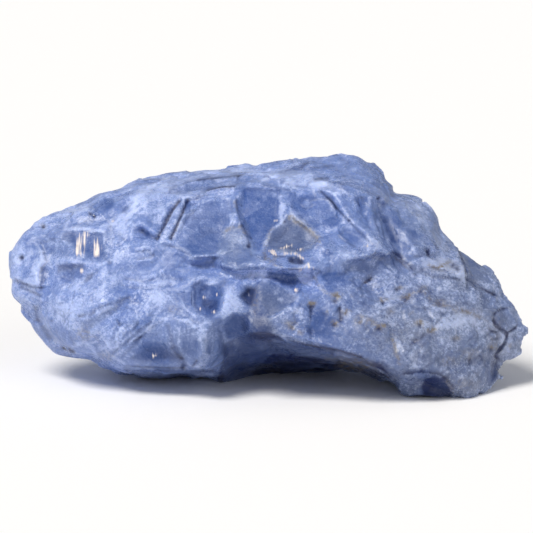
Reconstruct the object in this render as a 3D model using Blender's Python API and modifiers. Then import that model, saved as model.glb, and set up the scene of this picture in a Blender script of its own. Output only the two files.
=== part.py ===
"""Blue calcite: one broken lump of coarse-grained calcite, lying on its own small flat spots.

The stone is drawn as it is looked at: x runs along it, w up its face and d into it, in millimetres.
Its outline and the breaks on its face are lines of hand-placed points. A net of faces is stretched
over them, front and back, and remeshed into a solid. The solid is then chipped, thinned to flat
faces, leant back and cut level where it rests.
"""

import math

import bmesh
import bpy
import numpy as np
from mathutils import Matrix, Vector, geometry, noise

MM = 0.001

LENGTH = 156.0  # along x, between the two tips
LEAN = math.radians(12)  # how far the drawn face leans back when the stone rests
REST_LEVEL = 4.9  # w of the ground under the stone, at d = 0
VOXEL = 1.0  # grain of the remeshed lump
RELIEF = 1.1  # how much the drawn breaks are deepened
FACES = 9300  # triangles left after thinning

# The outline, clockwise from the left tip: x, w and d.
RIM = [
    (-78, 41.5, 0), (-76.5, 45.5, 1), (-73.5, 50, 3), (-70, 53.5, 5), (-66, 56, 7),
    (-60, 58, 9), (-55, 60.2, 11), (-50, 62.3, 13), (-46, 63.8, 14), (-42, 65.2, 15),
    (-38, 66.8, 16), (-33, 67.2, 17), (-29, 68.7, 18), (-24, 69, 19), (-16, 70, 20),
    (-8, 70, 21), (0, 70.7, 21), (2.5, 71.8, 21), (6, 72.3, 21), (14, 73.8, 20),
    (19, 73.9, 19), (21.5, 73.3, 18), (23, 74.4, 17), (26, 73.8, 16), (30, 71.7, 14),
    (35, 67.8, 12), (35.1, 65.6, 12), (38.5, 62.5, 12), (44, 61, 10), (47, 58.6, 9),
    (49, 57.5, 8), (51, 54.5, 7), (52, 50, 6), (56, 46, 5), (60, 43.7, 4),
    (64, 40.4, 3), (68, 37, 2), (69.8, 34, 1), (70.8, 32.5, 0), (70.8, 31.2, 0),
    (73.5, 29, -1), (75, 25.5, -2), (77.5, 22.5, -3), (78, 20, -4), (76.3, 17.5, -4),
    (76.3, 14, -5), (72, 10.5, -6), (70.3, 8, -8), (70.4, 5, -9), (69.5, 4, -10),
    (67, 4.7, -12), (65, 2.8, -14), (62, 1.8, -17), (59.5, 0, -19), (55.5, 2, -19),
    (51.5, 0, -20), (46, 1.8, -20), (43.5, 1, -20), (40, 2.2, -17), (36, 4.5, -10),
    (31, 7.5, 0), (26, 8.6, 8), (24, 9, 11), (20.5, 8, 13), (13, 8, 14),
    (5, 7.1, 13), (-1, 7.9, 11), (-6, 6.3, 7), (-10, 5.2, 3), (-14, 4.7, 0),
    (-17, 5.7, 1), (-19, 6.6, 2), (-23, 6.6, 4), (-30, 6, 5), (-38, 5.8, 5),
    (-41, 7, 4), (-45, 7.3, 3), (-50, 9.3, 2), (-54, 11.5, 2), (-60, 12.3, 1),
    (-64, 13.8, 1), (-67, 16.8, 0), (-70, 20.2, 0), (-74, 25.5, 0), (-76, 30, 0),
    (-76.8, 36, 0), (-77.7, 39, 0),
]  # fmt: skip

# The breaks on the face, left to right: each line is a ridge, a lip or the foot of a step.
FACE = {
    "tip_knob": [(-74, 41, -4), (-72, 36, -6), (-73, 31, -5)],
    "arch": [(-73, 46, -2), (-70, 47, -4.5), (-66, 48.3, -7.5), (-62, 48, -9.5), (-58.5, 46, -12.5)],
    "arch_floor": [(-69, 44.5, -4.5), (-65, 45.5, -6.5), (-62, 45, -8.5)],
    "flake_lip": [(-67, 43.2, -8), (-66.3, 40.5, -9), (-68, 38.5, -9), (-68, 34, -10.5), (-73, 35.5, -6.5)],
    "flake_foot": [(-65.5, 43, -7), (-65, 39, -8), (-66.5, 37.5, -7.8), (-66.8, 33.5, -9), (-70, 32.5, -7.5)],
    "bright_top": [(-62, 51, -7.5), (-56, 50.5, -10), (-49.5, 50, -12.5)],
    "bright_sill": [(-61, 49.6, -6.8), (-56, 49.3, -9.5), (-50.5, 48.8, -12.4)],
    "bright_right": [(-47, 49, -14.5), (-47.4, 43, -18.5), (-47, 40.5, -20)],
    "bright_floor": [(-57.5, 42.5, -15.8), (-52, 42, -17.2), (-48.8, 41.5, -17.4), (-49.4, 46.5, -13.8)],
    "slot_lip": [(-63.2, 40.6, -13.2), (-60, 41, -16), (-56, 41, -18.5), (-53, 40.4, -19.5)],
    "slot_foot": [(-63, 38.6, -11), (-59, 38.6, -13.6), (-55.5, 38.4, -16.6), (-52.5, 39, -18.8)],
    "slot_floor": [(-63, 35, -13.5), (-59, 34, -16), (-54.5, 35.2, -18.5)],
    "slot_bank": [(-60, 31, -19), (-54, 34, -20.5), (-50, 38, -20.8)],
    "shoulder": [(-66, 52, -1), (-60, 54, -3), (-53, 56.5, -4.5), (-45, 58.8, -6), (-40, 61.5, -6.5)],
    "upper_window": [(-52, 59.5, 2), (-47.5, 60.8, 2.5), (-44, 57.5, -4.2)],
    "saddle": [(-53, 53, -8), (-46, 54, -9.5), (-42, 56, -9)],
    "pale_bank": [(-44, 50, -14), (-40, 57, -9.5), (-34, 59, -9), (-31, 60.3, -8.4)],
    "pale_nose": [(-39, 52.5, -14), (-34.5, 50, -16.5), (-31.5, 53, -14), (-29, 57, -11)],
    "notch_floor": [(-37.8, 50.2, -12.5), (-35, 48.6, -13.8), (-33.4, 48, -15.2)],
    "notch_sill": [(-40.5, 49.5, -15), (-37, 47.6, -16.8), (-33, 46.6, -17.5)],
    "twin_ridge": [(-26.2, 60, -9), (-28.5, 55.5, -12.2), (-31.3, 48.8, -16.6)],
    "block_top": [(-41, 44.5, -17.5), (-36, 45, -18.6), (-34.7, 42.5, -19.6), (-38.5, 41.6, -19.5)],
    "swell": [(-32, 45.8, -18.4), (-28.5, 46, -18.2), (-25.5, 44.3, -20), (-22, 41.4, -21.8)],
    "swell_foot": [(-33, 40.5, -20), (-30, 37.3, -21.6), (-26, 36.6, -22.4)],
    "crest_left": [(-36, 62.6, -5.5), (-30, 61.8, -7.5), (-25.5, 61.2, -8.6), (-20, 62.4, -7.6)],
    "crest_middle": [(-16, 63.8, -6.5), (-9, 65, -5.2), (-4, 65.2, -4.6), (2, 64.2, -5.6), (7, 63.4, -7)],
    "crest_right": [(13, 64.6, -7), (18, 65, -6), (23, 63.3, -8), (29, 61.6, -8.6), (35, 60.6, -7.4)],
    "top_step_left": [(-40, 64.5, 3), (-30, 65, 1), (-20, 66.2, 2), (-10, 67, 4), (-3, 66.8, 2)],
    "top_step_back": [(-34, 66.2, 9), (-24, 67.6, 10), (-12, 68.6, 12), (0, 68.8, 12), (8, 69.4, 10)],
    "top_bench": [(4, 67, 1), (10, 67.3, 1.5), (17, 68.6, 4), (25, 68, 4), (31, 66, 3)],
    "top_dip": [(10, 70.6, 12), (13, 72, 15), (20, 71, 12.5), (26, 70.5, 9)],
    "pool_rim": [(-24, 59.6, -9.6), (-19, 60, -9.6), (-12.5, 60.6, -9.2), (-10.6, 57.5, -11.4)],
    "pool_floor": [(-22, 55.5, -12.2), (-20, 49, -15.5), (-15, 50.5, -14.6), (-13.6, 56, -11.8)],
    "pool_left": [(-26.5, 53.5, -14.6), (-29.2, 47.4, -17.8)],
    "pool_lip": [(-24.2, 43.2, -20.6), (-20.8, 42.4, -22.4), (-17, 42.6, -22.2), (-14.4, 43.2, -21.8)],
    "pool_lip_foot": [(-23.6, 40.2, -19.4), (-20, 40.2, -19.2), (-15.6, 40.6, -19.6)],
    "wedge_left": [(-11.6, 54.5, -14.4), (-12.6, 50.5, -16.8), (-13.2, 45.5, -20.6)],
    "wedge_right": [(-9.8, 59.5, -11.6), (-8.8, 53.5, -16), (-6.4, 48.6, -19.6), (-3.4, 43.4, -23.6)],
    "wedge_lip": [(-13.6, 40.3, -25), (-10.5, 39, -26.8), (-5, 39.6, -27.6), (-0.6, 39.6, -28)],
    "wedge_foot": [(-14.6, 38.6, -22.2), (-10, 37.6, -23), (-5, 38, -23.6), (-1.5, 37.6, -24.6)],
    "deep_left": [(-8.4, 60, -8.6), (-7.6, 54.5, -11.6), (-5, 49, -15.4), (-2.6, 45, -18.4)],
    "deep_top": [(-7.6, 63.8, -6), (-2, 63.2, -6.2), (3.6, 62.4, -7)],
    "deep_floor": [(1.5, 59, -8.8), (2.6, 54.8, -11.6), (-1, 51.6, -13.8)],
    "chain": [(4.2, 60, -9.4), (4.6, 57, -11.8), (4.8, 53, -14.8)],
    "clear_edge": [(5.8, 55.8, -12.8), (9.8, 53, -15.4), (13.4, 50.2, -17.4), (16.2, 47.6, -19.6)],
    "clear_left": [(3, 52, -15.2), (0.4, 49.6, -17.6), (-0.8, 45.5, -21)],
    "clear_floor": [(3.6, 49.6, -16), (3.2, 46.8, -18), (7.5, 45.6, -18.6), (11, 47.4, -17)],
    "glint_crest": [(0.4, 43.8, -23.4), (4, 44.6, -22.4), (7.6, 43.6, -22.6), (11.6, 41, -25)],
    "pocket_lip": [(1.6, 39.4, -27.8), (6, 39, -27.8), (10.5, 38.7, -27.4), (13.4, 39.6, -26.4)],
    "pocket_roof": [(1, 37.6, -22.4), (6, 36.8, -21.6), (11, 37.4, -22.6)],
    "pocket_sill": [(-1.6, 36.4, -26), (2, 35.4, -26), (5.4, 33, -26.8), (8.8, 31.8, -28)],
    "sky_window": [(8.4, 61.6, -8.2), (14, 62, -8.4), (9.6, 55.4, -12.2), (14.2, 51.8, -14.6)],
    "sky_right": [(19.2, 57.8, -11.4), (21.4, 53, -14.6), (18.6, 50.4, -16.6)],
    "crack_low": [(16, 61.6, -9), (19.6, 58.6, -11.2), (23.4, 53.4, -14.4), (27.4, 49.8, -17), (31, 46.4, -19.6)],
    "crack_high": [(16.8, 62.4, -9.6), (20.4, 59, -12), (24.2, 54, -15.4), (28.2, 50.4, -18), (31.8, 47.2, -20)],
    "small_window": [(22.4, 50.6, -16), (21.6, 48.4, -17.6), (25.6, 46.6, -19.4)],
    "slope_low": [(16, 44, -22.6), (21, 43.6, -22.4), (20, 40.6, -24.6), (16.4, 39.6, -25.8)],
    "brow": [(24.4, 41.8, -24), (28, 42.6, -24), (31.6, 44.2, -22.6), (36.6, 43.4, -20.4), (38.6, 43.8, -17.4)],
    "brow_foot": [(24, 39.8, -22.6), (28.4, 41, -21.6), (32, 42, -20), (36.4, 41.6, -18.2), (39, 40.4, -16)],
    "flute_left": [(26, 60, -9.6), (26.6, 56.6, -12), (28.6, 53.2, -14.6)],
    "flute_floor": [(27.8, 59.6, -8.6), (28.4, 56, -10.8), (29.6, 53, -13.6)],
    "flute_wall": [(30.2, 59.6, -9.8), (31, 54.6, -13), (32.6, 49, -16.6), (34, 45.6, -18.8)],
    "valley": [(33.6, 57.6, -7), (35.4, 52.6, -9.6), (37.4, 48, -12), (39.4, 43.6, -14)],
    "valley_wall": [(36.2, 57.8, -6.6), (38.6, 52, -10.2), (41.4, 48, -13), (43.4, 44.4, -15), (41.6, 41.6, -16.2)],
    "mass_top": [(41, 58.6, -3), (45, 55, -3.6), (48.4, 51.6, -2.6)],
    "mass_face": [(42.6, 53.6, -7.2), (44.6, 49.6, -10), (49.4, 47, -8), (47.6, 43.4, -12.4)],
    "shelf_lip": [(44.6, 41, -15.6), (48.6, 40, -16.6), (53, 38.6, -17.4), (57.4, 37, -16.4)],
    "shelf_foot": [(42.6, 38.6, -15.2), (47.6, 37.6, -15), (52.6, 36.4, -15), (57, 35.8, -14)],
    "shelf_hollow": [(53.4, 41, -12), (56, 39.6, -12.6)],
    "flank_edge": [(56.6, 43.8, -3), (57.8, 41.4, -8), (58.6, 38.6, -12)],
    "flank_foot": [(58.8, 42, -2.6), (59.8, 38.8, -6.4), (60.4, 36, -10)],
    "flank": [(64.6, 36.6, -4.4), (67, 32.6, -6.6), (62, 32.2, -11.4)],
    "apron_top": [(28, 37, -21.6), (33, 38, -19.4), (39, 36.6, -18), (46, 34.4, -17.6), (54, 32.6, -16.4)],
    "apron_pit": [(28.6, 34.6, -20.6), (30.2, 36, -20)],
    "ochre_line": [(20, 30.6, -27.4), (21.6, 27, -28.6), (26, 24.6, -29.2), (33, 22.4, -29.4)],
    "apron_mid": [(28, 31, -25), (35, 29.6, -24), (42, 30.6, -20.6), (45.4, 28.4, -21.6)],
    "apron_low": [(36, 20.6, -29), (43, 22.4, -26.4), (50, 21.6, -24.6), (57, 22.4, -21), (63, 23.6, -16.6)],
    "scar": [(41, 17.4, -28.4), (44.6, 19, -27), (46.6, 17.6, -27.2)],
    "cracked_end": [(66.6, 23.6, -13.4), (70.6, 20.4, -10.8), (69.8, 17, -12), (67.6, 13.6, -13.6)],
    "end_block": [(68.8, 25.8, -9.6), (73, 25, -5.6), (74.6, 21.6, -6.6), (72.4, 15, -9)],
    "end_hollow": [(66.4, 11.6, -13), (67, 8, -11.4), (68.2, 5.8, -11.6)],
    "foot_ridge": [(61.6, 14, -19.6), (62.6, 9, -18.4), (59.8, 4.4, -20.6)],
    "foot_face": [(55, 14, -24), (52, 9, -26.6), (56.6, 6, -24.2)],
    "scoop_lip": [(40, 8.6, -29.4), (44.4, 8.6, -28.6), (48.6, 8, -27.4), (52.4, 6.2, -26), (54.6, 3.8, -24)],
    "scoop_floor": [(44.6, 5.4, -23.4), (48.6, 5, -20.8), (52, 3.2, -20)],
    "undercut_lip": [
        (-13.6, 24, -29), (-10, 26, -29), (-6.2, 26.8, -28.6), (-5.2, 22.4, -30.6), (-3.8, 20.8, -31),
        (0.4, 20.6, -31.4), (4.4, 19.2, -31.8), (10, 17.9, -32.4), (16, 16.4, -32.6), (22, 14.9, -32.8),
        (27, 13.8, -32.6), (31, 11.6, -32), (36, 9.8, -30.8),
    ],
    "undercut_foot": [
        (-12.6, 20, -25), (-7.6, 20, -23), (-3, 18.6, -24), (1, 18, -22), (6, 16.6, -21),
        (12, 14.6, -20), (18, 13.4, -20), (24, 12.2, -20), (29, 10.6, -21), (34, 8.4, -23), (38.6, 6.8, -24),
    ],
    "undercut_floor": [(-11, 13, -15), (-4, 12, -9), (4, 11.4, -4), (12, 10.8, -3), (20, 10.4, -3), (28, 9.4, -9)],
    "foot_left": [(28, 21, -30.4), (33, 16.4, -31), (40, 14, -30), (47, 13, -28)],
    "eye_rim": [
        (-22.4, 32.6, -25.6), (-20.6, 36, -24.2), (-16, 35.6, -24.8), (-13.6, 31.6, -27),
        (-14.4, 27.2, -28.6), (-18.6, 25.4, -28.8), (-22, 27.6, -27.6), (-22.4, 32.6, -25.6),
    ],
    "eye_floor": [(-19.6, 32.4, -22.6), (-16.6, 31, -23.6), (-18.6, 28.6, -24.4)],
    "facet_side": [(-27, 32, -25), (-24.4, 28.4, -26.8), (-21.4, 24.8, -29)],
    "tongue": [(-11.6, 36, -25.4), (-9.6, 32, -27.2), (-11.8, 28, -29), (-13.6, 25, -29.6)],
    "hole_rim": [(-8.6, 31, -26.8), (-6, 34.8, -26), (-3.8, 33.6, -27), (-4.2, 28.6, -29), (-6.4, 27.6, -28.6)],
    "hole_floor": [(-6.6, 32, -22.6), (-5.4, 30, -23.4)],
    "smooth_face": [(-1, 33.6, -27.4), (-2, 28, -29.6), (2.6, 26.6, -30.6), (6, 29.6, -29)],
    "broken_field": [(-0.6, 23.8, -31.4), (4, 24.6, -31.6), (9.6, 27.4, -30), (12.4, 28.4, -28.4), (14, 31, -27)],
    "blue_step": [(11, 21.6, -31), (15.6, 24.6, -29.6), (19.4, 23.6, -29.6), (19, 19.4, -31.2)],
    "broad_window": [(15.4, 37.6, -25.4), (19, 38, -24.8), (22.6, 36.8, -24), (17, 33.8, -25.8)],
    "pale_lobe": [(-64, 30, -14), (-60, 27, -19), (-54, 29, -22), (-48, 32, -22.6), (-42, 34, -22)],
    "lobe_low": [(-70, 25, -6), (-66, 22, -10), (-60, 20, -16), (-54, 19, -20), (-49, 20, -22.4)],
    "groove_high": [(-57, 25.4, -20.6), (-52.6, 26.6, -22.6), (-47, 28.8, -24), (-41.4, 31.2, -24)],
    "groove_low": [(-56, 23.6, -20.4), (-51, 24.6, -22), (-46, 26.4, -23.4), (-40.6, 29.4, -23.8)],
    "middle_bank": [(-36, 33, -24), (-31, 34.4, -23.6), (-27.6, 34.6, -23.6)],
    "front_swell": [(-42, 24, -25.6), (-36, 27.4, -26.4), (-30.6, 28.6, -26.8), (-27.4, 26.6, -28)],
    "fan": [(-46, 17, -23.4), (-41, 19.6, -25.4), (-37, 22.4, -26.6), (-32, 23.6, -27.4)],
    "belly_window": [(-41.6, 12.8, -21), (-36, 12.4, -22.6), (-31, 14, -24.2), (-33, 17.4, -25.2), (-39, 17, -24)],
    "belly_lip": [(-48, 11.4, -15), (-42, 10.4, -18), (-34, 9.6, -21), (-27, 9.4, -22)],
    "belly_foot": [(-44, 9, -10), (-36, 8, -12), (-28, 7.8, -12), (-20, 7.8, -12), (-14, 7.4, -8)],
    "tooth_left": [(-30, 22, -27.8), (-29.4, 17.6, -27.6), (-26.4, 13.6, -27), (-24.4, 10.4, -25)],
    "tooth_ridge": [(-25.6, 23.6, -29), (-25.6, 19, -28.6), (-24.6, 14.6, -28.2)],
    "tooth_edge": [(-20.4, 22.4, -30), (-19.2, 18, -30.8), (-19.4, 13, -29.2), (-20.6, 9.6, -25.4)],
    "tooth_right": [(-16.4, 23.4, -29.4), (-15.6, 18.4, -28.6), (-14.8, 14, -26.8), (-17.4, 10.4, -23.4)],
    "chin": [(-62, 17, -10), (-56, 15, -13), (-51, 14.4, -15.6)],
}  # fmt: skip

# The back, which nobody sees from the front: three broad breaks, a ledge and a few lumps.
BACK = {
    "back_ridge": [(-66, 42, 15), (-52, 50, 27), (-36, 54, 33), (-18, 57, 37), (0, 60, 38), (16, 62, 36)],
    "back_shoulder": [(24, 60, 33), (32, 54, 31), (42, 46, 27), (54, 36, 20), (66, 28, 9)],
    "back_top": [(-54, 56, 19), (-34, 61, 27), (-14, 64.6, 31), (6, 66.6, 32), (20, 68, 29)],
    "back_bench": [(-60, 34, 22), (-44, 40, 33), (-26, 42, 38), (-8, 44, 40), (10, 46, 39)],
    "bench_foot": [(-58, 31.4, 19), (-43, 36.6, 29), (-26, 38.4, 34), (-8, 40, 36.4), (9, 42, 36)],
    "back_spur": [(22, 44, 35), (26, 34, 34), (28, 24, 30)],
    "back_hollow": [(36, 36, 27), (40, 26, 24), (34, 18, 24)],
    "back_belly": [(-50, 24, 25), (-32, 27, 35), (-12, 29, 38), (8, 30, 38)],
    "back_right": [(52, 26, 16), (60, 18, 8), (50, 14, 13)],
    "back_foot": [(-40, 15.5, 27), (-24, 14, 33), (-6, 14, 35), (10, 16, 33), (22, 15, 28)],
    "sole_left": [(-44, 10.6, 14), (-30, 8.6, 18), (-16, 8.2, 17), (-4, 9.4, 18), (10, 11, 22)],
    "sole_right": [(40, 9.6, 8), (48, 6, -2), (56, 4.4, -6)],
    "tip_back": [(-70, 36, 9), (-68, 28, 11)],
}  # fmt: skip


def clear_scene():
    for obj in list(bpy.data.objects):
        bpy.data.objects.remove(obj, do_unlink=True)


def stretch_net(bm, rim, breaks, front):
    """Faces over every break line inside the rim. The drawn plane is (x, w), and d is kept aside."""
    plan = [Vector((v.co.x, v.co.z)) for v in rim]
    depth = [v.co.y for v in rim]
    ties = [(i, (i + 1) % len(rim)) for i in range(len(rim))]
    for line in breaks.values():
        start = len(plan)
        plan += [Vector((x, w)) for x, w, d in line]
        depth += [float(d) for x, w, d in line]
        ties += [(i, i + 1) for i in range(start, len(plan) - 1)]
    inside_only = 1
    points, _, faces, origin, _, _ = geometry.delaunay_2d_cdt(plan, ties, [], inside_only, 1e-4)
    verts = []
    for point, sources in zip(points, origin):
        if sources and sources[0] < len(rim):
            verts.append(rim[sources[0]])
            continue
        # Two break lines that cross share a new point, which takes the depth of its nearest neighbour.
        near = sources[0] if sources else min(
            range(len(plan)), key=lambda i: (plan[i] - point).length_squared
        )
        verts.append(bm.verts.new((point.x, depth[near], point.y)))
    for face in faces:
        corners = [verts[i] for i in face]
        bm.faces.new(corners if front else corners[::-1])


def lump_mesh():
    """The whole stone as a closed net of large flat faces, in drawn millimetres."""
    bm = bmesh.new()
    rim = [bm.verts.new((x, d, w)) for x, w, d in RIM]
    stretch_net(bm, rim, FACE, front=True)
    stretch_net(bm, rim, BACK, front=False)
    bmesh.ops.triangulate(bm, faces=bm.faces)
    bmesh.ops.recalc_face_normals(bm, faces=bm.faces)
    mesh = bpy.data.meshes.new("lump")
    bm.to_mesh(mesh)
    bm.free()
    return mesh


def evaluated(obj):
    """The object's mesh with its modifiers applied."""
    graph = bpy.context.evaluated_depsgraph_get()
    return bpy.data.meshes.new_from_object(obj.evaluated_get(graph))


def with_modifier(mesh, kind, **settings):
    obj = bpy.data.objects.new("work", mesh)
    bpy.context.scene.collection.objects.link(obj)
    modifier = obj.modifiers.new(kind.title(), kind)
    for name, value in settings.items():
        setattr(modifier, name, value)
    bpy.context.view_layer.update()
    made = evaluated(obj)
    bpy.data.objects.remove(obj)
    return made


def deepen(mesh):
    """Cuts the breaks on the drawn face deeper, and leaves the outline and the back alone."""
    soft = with_modifier(mesh.copy(), "SMOOTH", factor=0.5, iterations=90)
    for vert, level, normal in zip(mesh.vertices, soft.vertices, outward(mesh)):
        facing = min(1.0, max(0.0, -1.6 * normal[1] - 0.2))
        vert.co.y += RELIEF * facing * (vert.co.y - level.co.y)


def tilted_cell(place, size, steepness):
    """How far a break face stands out here. Each cell of the crystal mass breaks at its own tilt."""
    here = place / size
    distances, centres = noise.voronoi(here)
    tilt = (noise.cell_vector(centres[0] * 37) - Vector((0.5, 0.5, 0.5))) * 2 * steepness
    edge = min(1.0, (distances[1] - distances[0]) / 0.12)
    return size * (here - centres[0]).dot(tilt) * edge


def outward(mesh):
    """The outward direction at every vertex, from the diagonals of the four-sided faces round it."""
    places = np.array([v.co[:] for v in mesh.vertices])
    quads = np.array([f.vertices[:] for f in mesh.polygons])
    across = np.cross(places[quads[:, 2]] - places[quads[:, 0]], places[quads[:, 3]] - places[quads[:, 1]])
    sums = np.zeros_like(places)
    for corner in range(4):
        np.add.at(sums, quads[:, corner], across)
    return sums / np.linalg.norm(sums, axis=1, keepdims=True)


def chip(mesh):
    """Breaks the smooth net into smaller tilted faces, less on the drawn face, which has its own."""
    for vert, normal in zip(mesh.vertices, outward(mesh)):
        place = Vector(vert.co)
        coarse = tilted_cell(place, 13.0, 0.36)
        fine = tilted_cell(place + Vector((40, 7, 3)), 6.0, 0.24)
        hidden = min(1.0, max(0.0, 0.15 + 0.9 * normal[1]))
        rise = (0.2 + 0.8 * hidden) * coarse + (0.15 + 0.6 * hidden) * fine
        vert.co = place + Vector(normal) * rise


def bodies(bm):
    """The vertices of each closed body, largest first."""
    left = set(bm.verts)
    found = []
    while left:
        reach = [left.pop()]
        body = list(reach)
        while reach:
            near = [e.other_vert(v) for v in reach for e in v.link_edges]
            reach = list(left.intersection(near))
            left.difference_update(reach)
            body += reach
        found.append(body)
    return sorted(found, key=len, reverse=True)


def rest_on_ground(mesh):
    """Leans the stone back and cuts it level, so that it stands on the small flats the cut leaves."""
    bm = bmesh.new()
    bm.from_mesh(mesh)
    lower = Matrix.Translation((0, 0, -REST_LEVEL * math.cos(LEAN)))
    bmesh.ops.transform(bm, matrix=lower @ Matrix.Rotation(-LEAN, 4, "X"), verts=bm.verts)
    everything = bm.verts[:] + bm.edges[:] + bm.faces[:]
    bmesh.ops.bisect_plane(
        bm, geom=everything, dist=1e-4, plane_co=(0, 0, 0), plane_no=(0, 0, 1), clear_inner=True
    )
    crumbs = [v for body in bodies(bm)[1:] for v in body]
    bmesh.ops.delete(bm, geom=crumbs, context="VERTS")
    bmesh.ops.holes_fill(bm, edges=[e for e in bm.edges if e.is_boundary], sides=0)
    bmesh.ops.triangulate(bm, faces=bm.faces)
    bmesh.ops.recalc_face_normals(bm, faces=bm.faces)
    low = Vector([min(v.co[i] for v in bm.verts) for i in range(3)])
    high = Vector([max(v.co[i] for v in bm.verts) for i in range(3)])
    middle = (low + high) / 2
    centre = Matrix.Translation((-middle.x, -middle.y, 0))
    bmesh.ops.transform(bm, matrix=Matrix.Scale(MM, 4) @ centre, verts=bm.verts)
    bm.to_mesh(mesh)
    bm.free()
    return mesh


def calcite_material():
    material = bpy.data.materials.new("blue_calcite")
    material.use_nodes = True
    shader = material.node_tree.nodes["Principled BSDF"]
    shader.inputs["Base Color"].default_value = (0.21, 0.28, 0.52, 1)
    shader.inputs["Roughness"].default_value = 0.45
    shader.inputs["Metallic"].default_value = 0.0
    shader.inputs["IOR"].default_value = 1.6
    return material


def main():
    clear_scene()
    mesh = with_modifier(lump_mesh(), "REMESH", mode="VOXEL", voxel_size=VOXEL)
    deepen(mesh)
    chip(mesh)
    mesh = with_modifier(mesh, "TRIANGULATE")
    share = FACES / len(mesh.polygons)
    mesh = with_modifier(mesh, "DECIMATE", decimate_type="COLLAPSE", ratio=share)
    mesh = rest_on_ground(mesh)
    mesh.name = "blue_calcite"
    mesh.materials.clear()
    mesh.materials.append(calcite_material())
    stone = bpy.data.objects.new("blue_calcite", mesh)
    part = bpy.data.collections.new("blue_calcite")
    bpy.context.scene.collection.children.link(part)
    part.objects.link(stone)


main()
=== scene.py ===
# %% [markdown]
# # A rough lump of blue calcite
# Blue calcite is a soft, cloudy crystal mass. It breaks along flat cleavage planes that change
# direction from grain to grain, so a broken lump is a patchwork of tilted facets, small stairs,
# bruised pale edges and a few clear panes that look darker because the light goes into them.
# The imported model gives the stone's form. This script carves the finer breaks into a copy of it,
# keeps notes on the surface (frost, clear panes, stains, cracks and painted shade, painted glints)
# and lets one material read those notes.

# %% Load the imported model
import math

import bmesh
import bpy
import numpy as np
from mathutils import Matrix, Vector, noise


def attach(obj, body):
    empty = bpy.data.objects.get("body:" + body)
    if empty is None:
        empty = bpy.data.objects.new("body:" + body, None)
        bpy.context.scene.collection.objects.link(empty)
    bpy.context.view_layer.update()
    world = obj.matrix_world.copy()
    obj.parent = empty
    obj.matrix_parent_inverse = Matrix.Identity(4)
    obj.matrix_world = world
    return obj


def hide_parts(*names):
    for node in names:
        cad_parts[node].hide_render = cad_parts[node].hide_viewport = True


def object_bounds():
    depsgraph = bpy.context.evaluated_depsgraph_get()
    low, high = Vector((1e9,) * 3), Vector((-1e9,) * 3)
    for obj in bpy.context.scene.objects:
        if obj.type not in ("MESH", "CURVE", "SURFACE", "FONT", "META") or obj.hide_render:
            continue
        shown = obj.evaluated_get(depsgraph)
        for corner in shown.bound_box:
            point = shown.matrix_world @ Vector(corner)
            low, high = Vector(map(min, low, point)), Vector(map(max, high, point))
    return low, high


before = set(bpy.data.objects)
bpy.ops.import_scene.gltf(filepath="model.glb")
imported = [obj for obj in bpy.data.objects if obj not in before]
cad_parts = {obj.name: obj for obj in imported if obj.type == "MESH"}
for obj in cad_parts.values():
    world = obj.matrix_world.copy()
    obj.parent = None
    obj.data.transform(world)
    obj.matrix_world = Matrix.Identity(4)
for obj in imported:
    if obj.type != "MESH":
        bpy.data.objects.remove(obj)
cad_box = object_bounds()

low, high = (np.array(corner) for corner in cad_box)
print("stone, mm:", ((high - low) * 1000).round(1))

# %% [markdown]
# The stone leans back a little as it rests. Its face is easier to describe as a flat drawing:
# x runs along the stone, w up its face and d into it, all in millimetres. These two functions
# go between that drawing and the model's own frame.

# %% The drawing and the frame
MM = 0.001
LEAN = math.radians(12)
GROUND_W = 4.9  # the ground's height in the drawing, where d is 0
MIDDLE_X, MIDDLE_Y = 0.03, 10.12  # the middle of the resting stone, before it was centred
COS, SIN = math.cos(LEAN), math.sin(LEAN)


def to_drawing(row):
    """Points in metres in the model's frame, as x, d, w in drawn millimetres."""
    x = row[:, 0] / MM + MIDDLE_X
    y = row[:, 1] / MM + MIDDLE_Y
    z = row[:, 2] / MM + GROUND_W * COS
    return np.stack([x, y * COS - z * SIN, y * SIN + z * COS], axis=1)


def to_frame(drawing):
    """Drawn x, d, w in millimetres, as points in metres in the model's frame."""
    x, d, w = drawing[:, 0], drawing[:, 1], drawing[:, 2]
    y = d * COS + w * SIN - MIDDLE_Y
    z = -d * SIN + w * COS - GROUND_W * COS
    return np.stack([x - MIDDLE_X, y, z], axis=1) * MM


# %% [markdown]
# ## The blank
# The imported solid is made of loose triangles. A copy is merged and remeshed into an even grid,
# fine enough to carve, and softened so that its triangles stop showing as facets of their own.

# %% Make the blank
GRAIN = 0.58 * MM  # size of one face of the blank
SOFTEN = 12  # rounds of smoothing


def applied(obj):
    """The object with its modifiers made real."""
    graph = bpy.context.evaluated_depsgraph_get()
    mesh = bpy.data.meshes.new_from_object(obj.evaluated_get(graph))
    obj.modifiers.clear()
    obj.data = mesh
    return obj


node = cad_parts["blue_calcite"]
bm = bmesh.new()
bm.from_mesh(node.data)
bmesh.ops.remove_doubles(bm, verts=bm.verts, dist=1e-6)
blank = bpy.data.meshes.new("calcite_blank")
bm.to_mesh(blank)
bm.free()

stone = bpy.data.objects.new("calcite_stone", blank)
bpy.context.scene.collection.objects.link(stone)
remesh = stone.modifiers.new("even_grid", "REMESH")
remesh.mode = "VOXEL"
remesh.voxel_size = GRAIN
smooth = stone.modifiers.new("soften", "SMOOTH")
smooth.factor = 0.5
smooth.iterations = SOFTEN
applied(stone)
print("blank:", len(stone.data.vertices), "vertices,", 2 * len(stone.data.polygons), "triangles")

# %% [markdown]
# ## Carving tools
# Every tool works on all the points at once. It finds how far each point is from a line or an
# outline in the drawing and moves the points near it in or out. Only points that face the
# viewer move, so a cut in the face doesn't come out on the back.

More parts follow.
